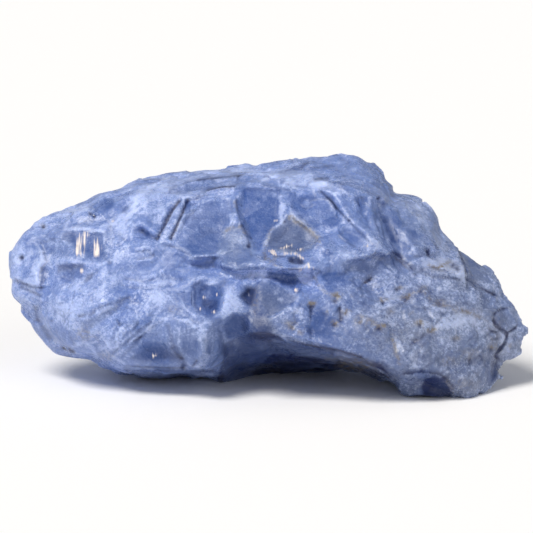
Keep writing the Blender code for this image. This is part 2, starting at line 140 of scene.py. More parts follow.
# %% Points, directions and distances
points = np.empty(len(stone.data.vertices) * 3)
stone.data.vertices.foreach_get("co", points)
points = to_drawing(points.reshape(-1, 3))
edges = np.empty(len(stone.data.edges) * 2, dtype=int)
stone.data.edges.foreach_get("vertices", edges)
edges = edges.reshape(-1, 2)
quads = np.array([face.vertices[:] for face in stone.data.polygons])


def outward(places):
    """Outward direction at each point, from the diagonals of the faces round it."""
    across = np.cross(
        places[quads[:, 2]] - places[quads[:, 0]], places[quads[:, 3]] - places[quads[:, 1]]
    )
    sums = np.zeros_like(places)
    for corner in range(4):
        np.add.at(sums, quads[:, corner], across)
    return sums / (np.linalg.norm(sums, axis=1, keepdims=True) + 1e-12)


def blurred(values, rounds):
    """Values averaged with their neighbours' along the surface, as often as asked."""
    counts = np.bincount(edges.ravel(), minlength=len(points)).astype(float)
    flat = values.reshape(len(points), -1).astype(float)
    for _ in range(rounds):
        sums = np.zeros_like(flat)
        for column in range(flat.shape[1]):
            sums[:, column] = np.bincount(edges[:, 0], flat[edges[:, 1], column], len(points))
            sums[:, column] += np.bincount(edges[:, 1], flat[edges[:, 0], column], len(points))
        flat = 0.5 * flat + 0.5 * sums / counts[:, None]
    return flat.reshape(values.shape)


def ramp(values, start, end):
    """0 before start, 1 after end, and a soft rise between them."""
    share = np.clip((values - start) / (end - start), 0, 1)
    return share * share * (3 - 2 * share)


def drift(size_mm, salt=0.0):
    """Soft noise at every point, from about -1 to 1, with lumps of this size."""
    shift = Vector((salt, 2 * salt, 3 * salt))
    return np.array([noise.noise(Vector(place) / size_mm + shift) for place in points])


normals = outward(points)
facing = ramp(-normals[:, 1], -0.15, 0.35)  # 1 where the surface looks at the viewer
hidden = 1 - facing
rim = ramp(np.abs(normals[:, 1]), 0.45, 0.1)  # 1 on the outline, where the surface is seen edge on
patchy = ramp(drift(5.0) + 0.6 * drift(2.2, 5.0), -0.25, 0.55)  # where bruises took, and where they didn't
print("facing the viewer:", round(float(facing.mean()), 2))


def to_line(line, closed=False):
    """Distance of every point from a drawn line, and the side it is on: left of the way it runs is +1."""
    ends = list(zip(line[:-1], line[1:]))
    if closed:
        ends.append((line[-1], line[0]))
    best = np.full(len(points), 1e9)
    side = np.ones(len(points))
    for (x0, w0), (x1, w1) in ends:
        run = np.array([x1 - x0, w1 - w0], dtype=float)
        rel = points[:, [0, 2]] - (x0, w0)
        share = np.clip(rel @ run / (run @ run), 0, 1)
        gap = np.hypot(rel[:, 0] - share * run[0], rel[:, 1] - share * run[1])
        nearer = gap < best
        best[nearer] = gap[nearer]
        side[nearer] = np.where(run[0] * rel[nearer, 1] - run[1] * rel[nearer, 0] > 0, 1, -1)
    return best, side


def inside(outline):
    """True for the points inside a drawn outline."""
    x, w = points[:, 0], points[:, 2]
    hit = np.zeros(len(points), dtype=bool)
    for (x0, w0), (x1, w1) in zip(outline, outline[1:] + outline[:1]):
        if w0 == w1:
            continue
        crosses = (w0 > w) != (w1 > w)
        hit ^= crosses & (x < x0 + (w - w0) * (x1 - x0) / (w1 - w0))
    return hit


# %% [markdown]
# ## Notes on the surface
# Beside its shape, each point carries a few numbers from 0 to 1: how frosted it is, how clear,
# how stained, how dark from cracks and painted shade, how grey and how much painted glint it has.
# The tools write them as they go, and the material reads them at the end. That keeps the colour of a pane exactly on
# the pane.

# %% Tumble the left end smooth
worn = ramp(points[:, 0], -38, -58)
points = points + worn[:, None] * (blurred(points, 30) - points)


def rounded(spots, rounds):
    """The points with the drawn spots worn round: each spot is an x, a w and a size."""
    share = np.zeros(len(points))
    for x, w, size in spots:
        share += np.exp(-((np.hypot(points[:, 0] - x, points[:, 2] - w) / size) ** 2))
    share = np.clip(share, 0, 1)[:, None]
    return points + share * (blurred(points, rounds) - points)


points = rounded([(-74, 27, 6), (-25, 70, 6), (-13, 71, 6), (51, 37, 5), (43, 39, 4)], 120)
normals = outward(points)
for x, w, size, swell in [  # what the smoothing took off the outline, given back
    (-72.5, 48.5, 4, 1.2), (-66, 55, 5, 0.8), (-75.5, 31.5, 3.5, 1.7), (-65, 13, 5, 0.7), (27, 73, 5, 1.0), (51, 54, 5, 0.9),
    (70, 35, 5, 0.9), (-60, 58, 5, 0.6),
]:
    near = np.exp(-((np.hypot(points[:, 0] - x, points[:, 2] - w) / size) ** 2))
    points = points + normals * (swell * near)[:, None]
normals = outward(points)

# %% Start the notes
dice = np.random.default_rng(4).random((4096, 3))  # the same random numbers each time
notes = {name: np.zeros(len(points)) for name in ("frost", "clear", "stain", "crack_and_shade", "grey", "painted_glint", "grit")}


def note(name, amount):
    """Adds to one note."""
    notes[name] += amount


# %% [markdown]
# ## Panes, steps, grooves and pits
# A pane is one cleavage face: the points inside its outline are pulled onto a plane of their own
# and sunk a little, which leaves a crisp lip all round. A step lifts one side of a line and lets
# the lift fade away, as a broken layer does. Grooves and pits are pushed in.
# Steps, grooves and pits also darken their low places with painted shade.

# %% Tools that carve
SINK = 0.45  # how deep a pane's sink of 1 goes, in millimetres


def push(depth):
    """Moves the points into the stone, against their outward direction."""
    global points
    points = points - normals * (depth * facing)[:, None]


def pane(outline, sink=0.5, flat=0.8, clear=0.0, frost=0.0, lip=1.5, bruise=0.16, turn=0.0):
    """A flat cleavage face inside a drawn outline. A turn above 0 makes it look further to the right."""
    gap, _ = to_line(outline, closed=True)
    within = inside(outline)
    chosen = within & (facing > 0.5)
    if chosen.sum() < 12:
        return
    plan = np.column_stack([points[chosen][:, 0], points[chosen][:, 2], np.ones(chosen.sum())])
    plane, *_ = np.linalg.lstsq(plan, points[chosen][:, 1], rcond=None)
    level = points[:, 0] * plane[0] + points[:, 2] * plane[1] + plane[2]
    level += turn * (points[:, 0] - points[chosen][:, 0].mean())
    weight = np.where(within, ramp(gap, -0.2, lip), 0) * facing
    off = np.clip(level - points[:, 1], -3, 3)
    points[:, 1] += weight * (flat * off + SINK * sink)
    note("clear", clear * weight)
    note("frost", frost * weight)
    note("frost", bruise * np.exp(-((gap / 0.7) ** 2)) * facing * patchy)


def groove(line, width=1.2, depth=0.8, crack_and_shade=0.7, frost=0.15):
    """A cut along a drawn line, darkened inside as a crack and with painted shade, with faintly bruised banks."""
    gap, _ = to_line(line)
    cut = np.exp(-((gap / width) ** 2))
    push(depth * cut)
    note("crack_and_shade", 0.7 * crack_and_shade * cut * facing)
    note("frost", 0.5 * frost * np.exp(-(((gap - 1.6 * width) / width) ** 2)) * facing * patchy)


def step(line, height=0.8, reach=6.0, frost=0.5, shade=0.35):
    """Lifts the left side of a drawn line, which leaves a little cliff along it. The right side gets painted shade
    along the line, the left side a pale line.
    """
    gap, side = to_line(line)
    lift = np.where(side > 0, 1 - ramp(gap, 0, reach), 0) * ramp(gap, -0.1, 0.5)
    push(-height * lift)
    lit = np.where(side > 0, np.exp(-((gap / 0.8) ** 2)), 0)
    dark = np.where(side < 0, np.exp(-((gap / 0.9) ** 2)), 0)
    note("frost", 0.7 * frost * lit * facing * (0.3 + 0.7 * patchy))
    note("crack_and_shade", 0.8 * shade * dark * facing)


def pit(x, w, radius=1.0, depth=0.8, crack_and_shade=0.8):
    """A small hole where a grain has dropped out, darkened inside with painted shade."""
    gap = np.hypot(points[:, 0] - x, points[:, 2] - w)
    hole = np.exp(-((gap / radius) ** 2))
    push(depth * hole)
    note("crack_and_shade", crack_and_shade * hole * facing)


def stroke(name, line, width, amount):
    """A soft line of one note. One thinner than the grid would break up, so it is widened a little."""
    gap, _ = to_line(line)
    width = math.hypot(width, 0.25)
    note(name, amount * np.exp(-((gap / width) ** 2)) * facing)


def hatch(name, line, shift, count, width, amount):
    """The same stroke side by side, each a shift further on, and no two equally strong."""
    for i in range(count):
        moved = [(x + i * shift[0], w + i * shift[1]) for x, w in line]
        stroke(name, moved, width, amount * (0.4 + 1.2 * dice[i + 40 * count, 0]))


def patch(name, outline, amount, soft=1.0):
    """A drawn outline filled with one note, with a soft edge this wide."""
    gap, _ = to_line(outline, closed=True)
    note(name, amount * ramp(np.where(inside(outline), gap, -gap), -soft, soft) * facing)


def dab(name, x, w, wide, tall, amount, turn=0.0):
    """A soft oval of one note, turned by so many degrees."""
    wide, tall = math.hypot(wide, 0.3), math.hypot(tall, 0.3)
    angle = math.radians(turn)
    dx, dw = points[:, 0] - x, points[:, 2] - w
    along = (dx * math.cos(angle) + dw * math.sin(angle)) / wide
    across = (-dx * math.sin(angle) + dw * math.cos(angle)) / tall
    note(name, amount * np.exp(-(along**2 + across**2)) * facing)


def tones(areas=(), lines=(), spots=()):
    """Notes placed one by one: filled outlines, lines and spots, each with its note and how strong it is."""
    for name, amount, soft, outline in areas:
        patch(name, outline, amount, soft)
    for name, amount, width, line in lines:
        stroke(name, line, width, amount)
    for name, amount, x, w, wide, tall in spots:
        dab(name, x, w, wide, tall, amount)


# %% [markdown]
# ## Grains
# The crystal mass is a crowd of grains, 4 to 12 mm across, and each one breaks at its own tilt.
# Scattered seed points give the grains: every point of the surface belongs to its nearest seed.
# The surface is tilted within each grain, so that grains meet in small ledges.

# %% Grains by their nearest seed
def dice_at(cells, salt):
    """Three even random numbers for each cell of a cubic grid, always the same for the same cell."""
    mixed = cells[..., 0] * 73856093 ^ cells[..., 1] * 19349663 ^ cells[..., 2] * 83492791 ^ salt * 2654435
    return dice[mixed % 4096]


def grains(size, salt, stretch=(1, 1, 1)):
    """For each point: the offset from its grain's seed, the room to the next grain and three dice."""
    scaled = points / (size * np.array(stretch))
    home = np.floor(scaled).astype(int)
    gaps, seeds, rolls = [], [], []
    for i in (-1, 0, 1):
        for j in (-1, 0, 1):
            for k in (-1, 0, 1):
                cell = home + (i, j, k)
                seed = cell + dice_at(cell, salt)
                gaps.append(np.linalg.norm(scaled - seed, axis=1))
                seeds.append(seed)
                rolls.append(dice_at(cell, salt + 7))
    order = np.argsort(np.array(gaps), axis=0)
    rows = np.arange(len(points))
    nearest = order[0]
    room = np.array(gaps)[order[1], rows] - np.array(gaps)[nearest, rows]
    offset = (scaled - np.array(seeds)[nearest, rows]) * size
    return offset, room, np.array(rolls)[nearest, rows]


def break_grains(size, salt, tilt, amount, stretch=(1, 1, 1)):
    """Tilts the surface within each grain. Returns the grains' dice and the room to the next one."""
    global points
    offset, room, rolls = grains(size, salt, stretch)
    lean = (rolls - 0.5) * 2 * tilt
    rise = np.clip((offset * lean).sum(axis=1), -0.16 * size, 0.16 * size)
    points = points + normals * (rise * amount * ramp(room, 0.0, 0.1))[:, None]
    return rolls, room


def stairs(rolls, period, height, amount):
    """Breaks a grain's face into a flight of small cleavage stairs, each grain its own way."""
    global points
    way = rolls - 0.5
    way /= np.linalg.norm(way, axis=1, keepdims=True) + 1e-9
    walk = (points * way).sum(axis=1) / period
    tread = walk - np.floor(walk)
    points = points + normals * ((0.5 - tread) * height * amount)[:, None]
    return tread


coarse_rolls, coarse_room = break_grains(11.0, 3, 0.42, 0.22 + 0.3 * hidden)
normals = outward(points)
pale_grain = ramp(coarse_rolls[:, 1], 0.5, 0.75) * ramp(coarse_room, 0.0, 0.12)
clear_grain = ramp(coarse_rolls[:, 0], 0.62, 0.72) * ramp(coarse_room, 0.0, 0.12)
note("frost", 0.4 * pale_grain * (0.25 + 0.75 * hidden) + 0.3 * hidden * ramp(drift(15.0, 9.0), -0.3, 0.4))
note("clear", 0.5 * clear_grain * (0.25 + 0.75 * hidden))
print("coarse grains:", len(np.unique(coarse_rolls[:, 0])))

# %% [markdown]
# ## The face, from the left tip to the right end
# These are the breaks that give this stone its look. Each is a few listed points. The
# larger ones are in the imported solid already, so here they only get their crisp edges.

# %% Left end: the arch, the bright striped facet and the slot
pane([(-70, 47), (-66, 48.3), (-63, 48.7), (-61.5, 47.5), (-58.5, 45.8), (-59, 42.5), (-66, 43)], 0.5, 0.7, 0.2)
pane([(-60.5, 50.2), (-55, 50.4), (-48.7, 49.8), (-48, 43), (-50.5, 41), (-58, 45.8)], 0.8, 0.9, 0.55)
pane([(-63, 40.4), (-58, 40.9), (-54, 40.6), (-53, 38), (-55.5, 35.2), (-59, 34.4), (-62, 35.5)], 0.7, 0.4, 0.5, lip=2.2, bruise=0.05)
pane([(-67.8, 40), (-66, 39.5), (-65.8, 34.5), (-67.6, 34)], 0.5, 0.5, 0.6)
step([(-67.8, 33.8), (-68.3, 38), (-67.5, 39.5), (-66.2, 41), (-67, 43.4)], 0.9, 5, 0.7, 0.6)
step([(-76, 36), (-73, 35), (-70, 33.8), (-67.8, 33.8)], 0.7, 5, 0.5, 0.5)
groove([(-74, 33.5), (-71, 32.2), (-68, 30.8)], 0.7, 0.6)
groove([(-69.5, 27), (-69, 24), (-67, 21), (-65.5, 18.5)], 1.4, 0.8, 0.35)
groove([(-51, 38.4), (-53, 36.6), (-55, 35)], 0.8, 0.6, 0.4)
groove([(-56, 25), (-53, 25.8), (-51.5, 26.5), (-48, 28.3), (-44, 29.5), (-41, 30.8)], 0.6, 0.4, 0.3)
groove([(-61.3, 15.5), (-58.5, 14.3)], 0.8, 0.6)
pit(-67.5, 52, 0.8, 0.7)
pit(-73.8, 42.5, 0.8, 0.7)
pit(-53.3, 55.8, 0.6, 0.5)
pit(-52, 55.2, 0.6, 0.5)
pane([(-45.8, 24.6), (-43.2, 24), (-43.6, 22)], 0.6, 0.5, 0.7, lip=0.8)
pane([(-52, 58.5), (-49, 61), (-46, 60.5), (-45.5, 57), (-49, 56)], 0.4, 0.8, 0.5)
pane([(-71, 31.5), (-67.5, 31), (-67, 27.5), (-70, 27)], 0.3, 0.8, 0.35)

# %% Upper left: the shoulder, the pale bank and the twin grooves
groove([(-63, 51.8), (-57, 53), (-51, 53.6), (-46.5, 54.2)], 1.3, 0.6, 0.3)
groove([(-47, 52), (-46.6, 46), (-46.8, 41)], 1.0, 0.7, 0.35)
pane([(-44.5, 57.5), (-42, 58.5), (-40.5, 56.5), (-42.5, 55)], 0.7, 0.5, 0.6, lip=0.8)
pane([(-38.2, 51), (-35.5, 50.5), (-33, 48), (-36.5, 48.4)], 0.7, 0.5, 0.7, lip=0.8)
groove([(-26.5, 59.6), (-28.5, 57), (-30, 54), (-31.5, 51), (-33, 48.3)], 0.7, 0.9, 0.9, 0.3)
groove([(-24, 59.8), (-25.5, 56), (-27, 52.5), (-28.8, 48.3)], 0.7, 0.9, 0.9, 0.3)
pane([(-25, 59.5), (-23, 59.8), (-22.6, 56), (-24.6, 55)], 0.4, 0.6, 0.6, lip=0.7)
groove([(-31.2, 46.3), (-27, 45.5), (-24, 44), (-22, 42.2), (-14, 42)], 0.7, 0.6, 0.5, 0.1)
step([(-38.4, 44.4), (-35, 44.6), (-34.6, 42.2), (-37.8, 41.8)], 0.7, 3, 0.5, 0.4)
pit(-34, 43.2, 0.7, 0.6)
pane([(-33, 45), (-28, 45.4), (-25.6, 43.4), (-26.4, 39), (-31, 38)], 0.3, 0.7, 0.3)

# %% Top: broken steps of the plateau
step([(-8, 66.9), (-12, 66.7), (-18, 66), (-22, 65.4), (-26, 64), (-29, 62.8)], -0.8, 5, 0.5, 0.5)
step([(-10, 63.4), (-14, 63.2), (-18, 62.3), (-20, 61.2), (-22.5, 60.2)], -0.8, 4, 0.5, 0.5)
step([(-28, 66.8), (-32, 65.5), (-36, 64)], -0.6, 4, 0.5, 0.4)
groove([(-29, 62.3), (-25, 62.3), (-21, 63.4), (-16, 64.2), (-9, 64.9)], 0.7, 0.6, 0.5)
groove([(4, 68), (9, 69.5)], 0.7, 0.5, 0.4)
groove([(10, 70), (12, 71.5)], 0.7, 0.5, 0.4)
groove([(11, 69), (16, 69.2), (20, 70.4)], 0.7, 0.5, 0.4)
groove([(14, 66), (18, 66.4)], 0.6, 0.4, 0.4)
groove([(22, 72.5), (24, 71.5)], 0.7, 0.5, 0.4)
groove([(-2, 68.3), (1, 68.7)], 0.7, 0.4, 0.4)
step([(24, 61.5), (22, 63.5), (19, 65), (16, 65.3), (12, 64.5)], -0.7, 3, 0.5, 0.3)

# %% Middle, upper row: the pool pane, the pale wedge, the deep pane, the clear crystal, the sky pane
pane([(-25, 55), (-20, 59), (-10.4, 60.6), (-9.4, 56), (-12.6, 50), (-13.6, 45), (-16, 43), (-22, 42.6), (-28.6, 47.4)], 0.7, 0.85, 0.6, bruise=0)
pane([(-9.8, 59.4), (-12, 50), (-13.5, 46), (-14, 40), (-11, 38.8), (-1, 39.4), (-3.4, 42.6), (-6.4, 46), (-7.4, 51)], -0.5, 0.8, 0, 0.1)
pane([(-8.3, 63.6), (-2, 63.4), (4, 62.8), (3.6, 57), (2.8, 52.4), (-0.5, 47.4), (-2.4, 44), (-5.6, 47.6), (-8, 55)], 0.8, 0.75, 0.75)
pane([(6.5, 56), (3, 52.5), (0.5, 50), (-0.5, 46), (-0.6, 43.6), (5, 44.8), (9, 44), (12, 45.4), (15.6, 47.8), (12, 51.5), (8, 54.5)], 0.8, 0.6, 0.85, bruise=0.05)
pane([(6, 59), (10, 61.5), (15, 62), (18, 60.5), (20.5, 57), (22, 53), (20, 50.5), (14, 50.5), (10, 53.6), (8, 56)], 0.4, 0.75, 0.6)
step([(-1, 39), (-10, 38.3), (-14, 39.4)], -0.35, 4, 0.15, 0.4)
pane([(-23.6, 42), (-14.4, 41.6), (-14.6, 38.6), (-23, 39)], 0.6, 0.5, 0.6)
pane([(-0.5, 38.2), (12.4, 38.4), (9, 34.6), (7, 32.8), (3, 35), (-0.5, 37)], 0.4, 0.4, 0.6, bruise=0)
pit(7, 41.8, 1.3, 0.5, 0.4)
pit(9.6, 41.4, 1.3, 0.5, 0.4)
pit(-5.7, 46, 0.7, 0.6)
groove([(-0.5, 46), (-1, 42.4)], 0.7, 0.6, 0.4)
groove([(13.6, 59.7), (16, 60), (18, 59.8), (20, 57)], 0.5, 0.4, 0.3, 0.4)
groove([(9.4, 58.6), (10.6, 60), (12.8, 59.6), (13.2, 57.8), (11.4, 57.2), (9.8, 57.8)], 0.5, 0.4, 0.3, 0.5)

# %% Middle: the long crack, the panes below it and the flutes
step([(31.5, 45.8), (30, 47.3), (27, 50.3), (23.5, 53.7), (21, 56.3), (20, 58.3), (18, 60.8), (16, 62), (14, 62.3)], -0.25, 6, 0.2, 0.1)
groove([(16, 61.8), (19, 59.6), (21, 56.3), (23.5, 53.5), (27, 50.1), (30, 47.1)], 0.4, 0.15, 0.1)
pane([(20.5, 49.5), (23, 51), (27, 50), (29, 47), (26, 45.5), (24, 46.5)], 0.3, 0.6, 0.5)
pane([(15, 44.6), (18.6, 45.4), (19.6, 43), (16.6, 41.8)], 0.4, 0.8, 0.6)
pane([(15, 38.4), (23, 38.6), (23.4, 35.4), (18.6, 34.4), (15.4, 35.4)], 0.5, 0.8, 0.5, lip=2)
pane([(25.5, 60.5), (29.4, 60.2), (29.5, 55), (30, 52), (28, 52.2), (26.6, 55.5)], 0.5, 0.6, 0.25, lip=2.2)
groove([(30.4, 60), (30.6, 55), (31.8, 51)], 0.7, -0.5, 0, 0.3)
pit(33, 60, 0.7, 0.6)
groove([(34, 57), (34.5, 54), (36, 51), (37.5, 48.5), (38, 45), (39, 43), (40, 41.5)], 2.0, 0.5, 0.3)
pane([(36, 57), (38.5, 56.4), (40.4, 53), (39.5, 51), (37, 52.8)], 0.5, 0.7, 0.6)
pane([(42, 50.6), (44.8, 51), (45.2, 48.4), (42.6, 47.8)], 0.4, 0.8, 0.6)

# %% Lower middle: the eye, the tongue, the smooth face and the broken field
pane([(-23, 34), (-19, 37.4), (-14, 36), (-12.4, 31), (-14, 26), (-18.6, 24.4), (-22.6, 27)], 0, 0.5, 0.45, lip=2.0, bruise=0)
pane([(-20, 34), (-16.5, 33.8), (-14.6, 31), (-15.4, 27.6), (-18.6, 27), (-21, 29.6)], 0.4, 0.2, 0.6, bruise=0)
groove([(-21.4, 35), (-22.4, 32), (-22.2, 29), (-20.4, 26)], 0.5, 0.2, 0.3, 0.2)
groove([(-25.5, 29), (-24, 27), (-22, 25.3), (-20, 24.7)], 0.8, -0.5, 0, 0.5)
pane([(-8.5, 32), (-6, 34), (-4, 34.5), (-4, 28), (-6, 28.5), (-8.5, 30)], 0.7, 0.3, 0.85, lip=2.2, bruise=0)
pane([(-12, 35), (-9, 35.5), (-8.4, 31), (-6.4, 27.6), (-9, 26), (-13.5, 23.5), (-15, 25.4), (-13.5, 29)], -0.5, 0.7, 0, 0.4)
pane([(-4, 34), (-2, 36.5), (1, 36), (5, 33.5), (8, 31), (8, 28), (3, 27), (0, 25), (-4.2, 25.4)], 0.2, 0.7, 0.75, bruise=0, turn=0.2)
groove([(0, 24.4), (3, 25), (7, 27.2)], 0.6, -0.2, 0, 0.2)
pane([(12.8, 26.6), (16, 27), (20, 24.6), (20, 18), (13, 18.6)], 0.5, 0.8, 0.35)
groove([(12.7, 27), (12.6, 18.6)], 0.6, 0.4, 0.15)
groove([(7, 21.6), (8.4, 23.6), (7.6, 25.8), (9.4, 28)], 0.7, 0.5, 0.5)

# %% Lower left: the front swell, the flutes and the tooth
groove([(-42, 36.2), (-36, 35.6), (-30, 36.4), (-25, 36)], 0.8, 0.5, 0.3, 0.4)
groove([(-41, 33.6), (-35, 33.4), (-29, 34.4)], 0.6, 0.4, 0.25, 0.4)
groove([(-46, 14), (-42, 17), (-38, 20.6)], 0.5, 0.3, 0.3)
groove([(-43.4, 12.8), (-39.6, 16.4), (-36.4, 20)], 0.5, 0.25, 0.3)
pane([(-41, 16), (-36, 18), (-30, 17), (-29.4, 13.4), (-34, 11.4), (-40, 12)], 0.6, 0.6, 0.4, lip=2.5, bruise=0.05)
pane([(-25, 24), (-20.5, 22.6), (-19.8, 16), (-20.6, 10), (-24, 9.8), (-25.4, 13), (-26.4, 18)], 0.3, 0.85, 0.3)
pane([(-18.8, 22), (-15, 23), (-14, 15.4), (-16, 13), (-18, 10.4), (-18.6, 16)], 0.4, 0.85, 0.35)
groove([(-19.6, 22), (-19.4, 18), (-19.4, 14.6)], 1.6, -0.3, 0, 0.1)
groove([(-29.6, 22), (-28.6, 17), (-25.8, 13), (-24.8, 10)], 0.9, 0.7, 0.5)
pane([(-14, 22), (-10, 26), (-5.8, 26.2), (-5.6, 21.2), (-7, 19.2), (-12, 18.2)], 0.7, 0.8, 0.5, lip=2)
groove([(-42, 9.6), (-36, 9.4), (-30, 9.2), (-25, 9.3)], 0.7, 0.6, 0.8, 0.2)
pit(-12, 17, 0.8, -0.6, 0)
pit(-10, 17.5, 0.7, -0.5, 0)

# %% Right: the brow, the crumpled shelf, the flank and the apron's pits
step([(43, 38.5), (41, 40.5), (39.5, 42), (37, 43.8), (35, 43.1), (32, 43.5), (30, 42.2), (26, 41.3), (24, 39.5)], -0.6, 5, 0.45, 0.5)
groove([(33, 40.5), (36, 38)], 0.8, -0.5, 0, 0.4)
groove([(36, 41), (38, 38.5)], 0.8, -0.5, 0, 0.4)
groove([(38, 52), (40, 50.3), (42, 47.7), (44, 44.5), (46, 42)], 1.4, -0.4, 0, 0.5)
groove([(46, 37.5), (49, 36.5), (53, 36.2), (57, 36.2)], 0.5, 0.3, 0.3)
groove([(48, 40.5), (50.5, 39.3)], 0.6, 0.3, 0.4)
pit(55, 40, 0.8, 0.4, 0.4)
pit(56.4, 38.8, 0.7, 0.4, 0.4)
pit(47.5, 44.5, 0.7, 0.5)
pit(48, 43.3, 0.7, 0.5)
step([(58.7, 36.5), (58.5, 40), (57.5, 42), (57, 44)], 0.6, 5, 0.5, 0.4)
pane([(59.5, 42.4), (64, 40), (67.4, 36.4), (66.4, 34), (60, 36.6)], 0.3, 0.85, 0.4)
groove([(60, 36), (64, 33.7), (68, 31.5)], 0.7, 0.7, 0.7)
groove([(28.2, 34.3), (30.5, 36.4)], 0.8, 0.5, 0.5)
for x, w, radius in [
    (20, 31, 0.8), (19.5, 29.5, 0.8), (23, 26, 0.8), (19.5, 22.5, 0.8), (27, 24, 0.9), (32.5, 21.5, 0.9),
    (12.5, 28, 0.7), (40.5, 30, 1.0), (45.5, 32.5, 0.9), (44.8, 22.5, 0.8), (48, 20.5, 0.9), (51, 28.5, 1.0),
    (66.5, 15, 0.9), (36, 26, 0.7), (38.5, 33, 0.7), (55.5, 18, 0.8), (60, 12, 0.8), (34, 29, 0.6),
]:
    pit(x, w, radius, 0.5, 0.55)
    dab("stain", x + 0.4, w + 0.7, 1.8 * radius, 0.9 * radius, 0.6)
groove([(21.3, 27.5), (21.3, 24)], 0.7, 0.8, 0.7)
groove([(55, 28), (60, 26), (63, 25)], 0.8, 0.35, 0.25)
groove([(42, 17), (46, 19.5)], 0.9, 0.45, 0.4)

# %% Round the ridges that two neighbouring panes left between them
points = rounded([(-3.4, 32, 2.2), (-3.4, 28.5, 2.2), (-3.4, 25.5, 2.6), (-3, 22.4, 3.4), (7, 30, 2), (-11, 40, 2.4), (-7, 40, 2.4), (38, 52, 2.5), (40, 48, 2.5), (30.6, 56, 2.5)], 14)
normals = outward(points)

# %% Right end and foot: the open cracks, the chip and the scoop
groove([(66.8, 23.6), (68.2, 21.8), (70, 20.7), (71.3, 19.2), (70.3, 16.5), (69, 14.8), (67.8, 13.3), (68.5, 12)], 0.5, 0.7, 0.9)
groove([(71.2, 20), (72.5, 20.5), (74, 21.5)], 0.45, 0.5, 0.8)
step([(66.8, 23.6), (67.3, 25.8), (69, 27), (71, 27.5)], 0.6, 4, 0.5, 0.4)
groove([(66.4, 20.6), (68.4, 20), (68.6, 18.2), (66.6, 18)], 0.5, 0.5, 0.6)
pane([(66, 11.8), (68.6, 11.6), (68.6, 4.6), (66.2, 4.6)], 0.6, 0.6, 0.7)
step([(54.6, 4), (52.6, 6.6), (49, 8.2), (44.6, 8.4), (40.4, 8)], 0.7, 4, 0.4, 0.9)
groove([(38, 19), (40, 15), (43, 11), (45, 9.5)], 0.6, -0.4, 0, 0.6)
groove([(-4.5, 20.3), (-1, 20.5), (2, 20), (5, 18.3), (8, 18), (11, 17), (14, 16.2), (18, 15.8), (22, 14.8), (27, 13.7), (30, 12), (33, 11.5)], 0.6, -0.5, 0, 0.7)

# %% [markdown]
# The photo doesn't show the back. It gets the same kinds of break, fewer and larger, drawn as if
# seen through the stone. For these few calls the side that faces away counts as the face, and a
# pane is sunk by a negative amount, because into the stone is the other way there.

# %% The back: large breaks, two cracks and a ledge
facing, hidden = hidden, facing
pane([(-58, 40), (-46, 47), (-36, 44), (-38, 30), (-50, 24), (-60, 30)], -0.8, 0.7, 0.35, lip=2.2)
pane([(-30, 54), (-14, 57), (-6, 48), (-14, 38), (-30, 40)], -1.0, 0.75, 0.65, lip=2)
pane([(0, 55), (16, 58), (26, 50), (18, 38), (2, 40)], -0.6, 0.7, 0, 0.3, lip=2.2)
pane([(-34, 30), (-18, 32), (-10, 22), (-20, 12), (-34, 16)], -0.6, 0.7, 0, 0.25, lip=2.2)
pane([(-4, 30), (14, 32), (22, 20), (8, 13), (-6, 16)], -1.0, 0.75, 0.6, lip=2)
pane([(30, 40), (42, 41), (48, 30), (40, 22), (28, 26)], -0.8, 0.7, 0.3, lip=2.2)
pane([(52, 27), (60, 28), (64, 20), (56, 14), (50, 18)], -0.6, 0.6, 0, 0.2, lip=2)
groove([(-62, 22), (-48, 20), (-36, 24), (-27, 34), (-30, 40)], 0.7, 0.6, 0.6)
pane([(-46, 52), (-32, 61), (-20, 65), (-12, 60), (-28, 54)], -0.8, 0.75, 0.3, lip=2)
pane([(-10, 60), (-6, 68), (8, 69), (16, 66), (14, 60)], -0.7, 0.75, 0, 0.3, lip=2)
pane([(18, 60), (22, 67), (32, 63), (37, 52), (28, 50)], -1.0, 0.75, 0.55, lip=2)
pane([(-70, 46), (-60, 54), (-50, 52), (-56, 42)], -0.6, 0.7, 0.2, lip=2)
groove([(-8, 58), (-5, 50), (-6, 44), (-2, 36), (-1.4, 28), (3, 22)], 0.5, 0.5, 0.6)
groove([(26, 50), (30, 40), (27, 28), (34, 17)], 0.7, 0.6, 0.5)
step([(22, 21), (36, 19), (52, 24), (60, 31)], 0.8, 6, 0.6, 0.5)
step([(-24, 60), (-40, 54), (-54, 50)], -0.8, 6, 0.5, 0.5)
for name, x, w, wide, tall, amount, turn in [
    ("frost", -66, 32, 7, 9, 0.4, 0), ("frost", 22, 61, 14, 4, 0.35, -10), ("frost", -18, 26, 7, 6, 0.3, 0), ("frost", 6, 36, 12, 3, 0.4, 10),
    ("frost", -40, 50, 10, 3, 0.4, 20), ("frost", 48, 32, 9, 4, 0.3, -30), ("clear", -22, 48, 8, 6, 0.25, 0), ("clear", 8, 22, 9, 6, 0.25, 0),
    ("clear", -46, 36, 8, 6, 0.2, 0), ("stain", 42, 24, 12, 4, 0.35, 10), ("stain", 12, 13, 14, 3, 0.35, 0), ("stain", -30, 33, 8, 2, 0.3, 30),
    ("crack_and_shade", -22, 44, 6, 5, 0.2, 0), ("crack_and_shade", 6, 18, 9, 4, 0.25, 0),
]:
    dab(name, x, w, wide, tall, amount, turn)
facing, hidden = hidden, facing
normals = outward(points)

# %% [markdown]
# ## Small grains and cleavage stairs
# Between the large breaks the face is never smooth: 4 to 6 mm grains, and on them flights of
# stairs about 2 mm wide, as calcite leaves where a cleavage plane is torn rather than split.
# The clear panes stay calm, which is what makes them read as panes.

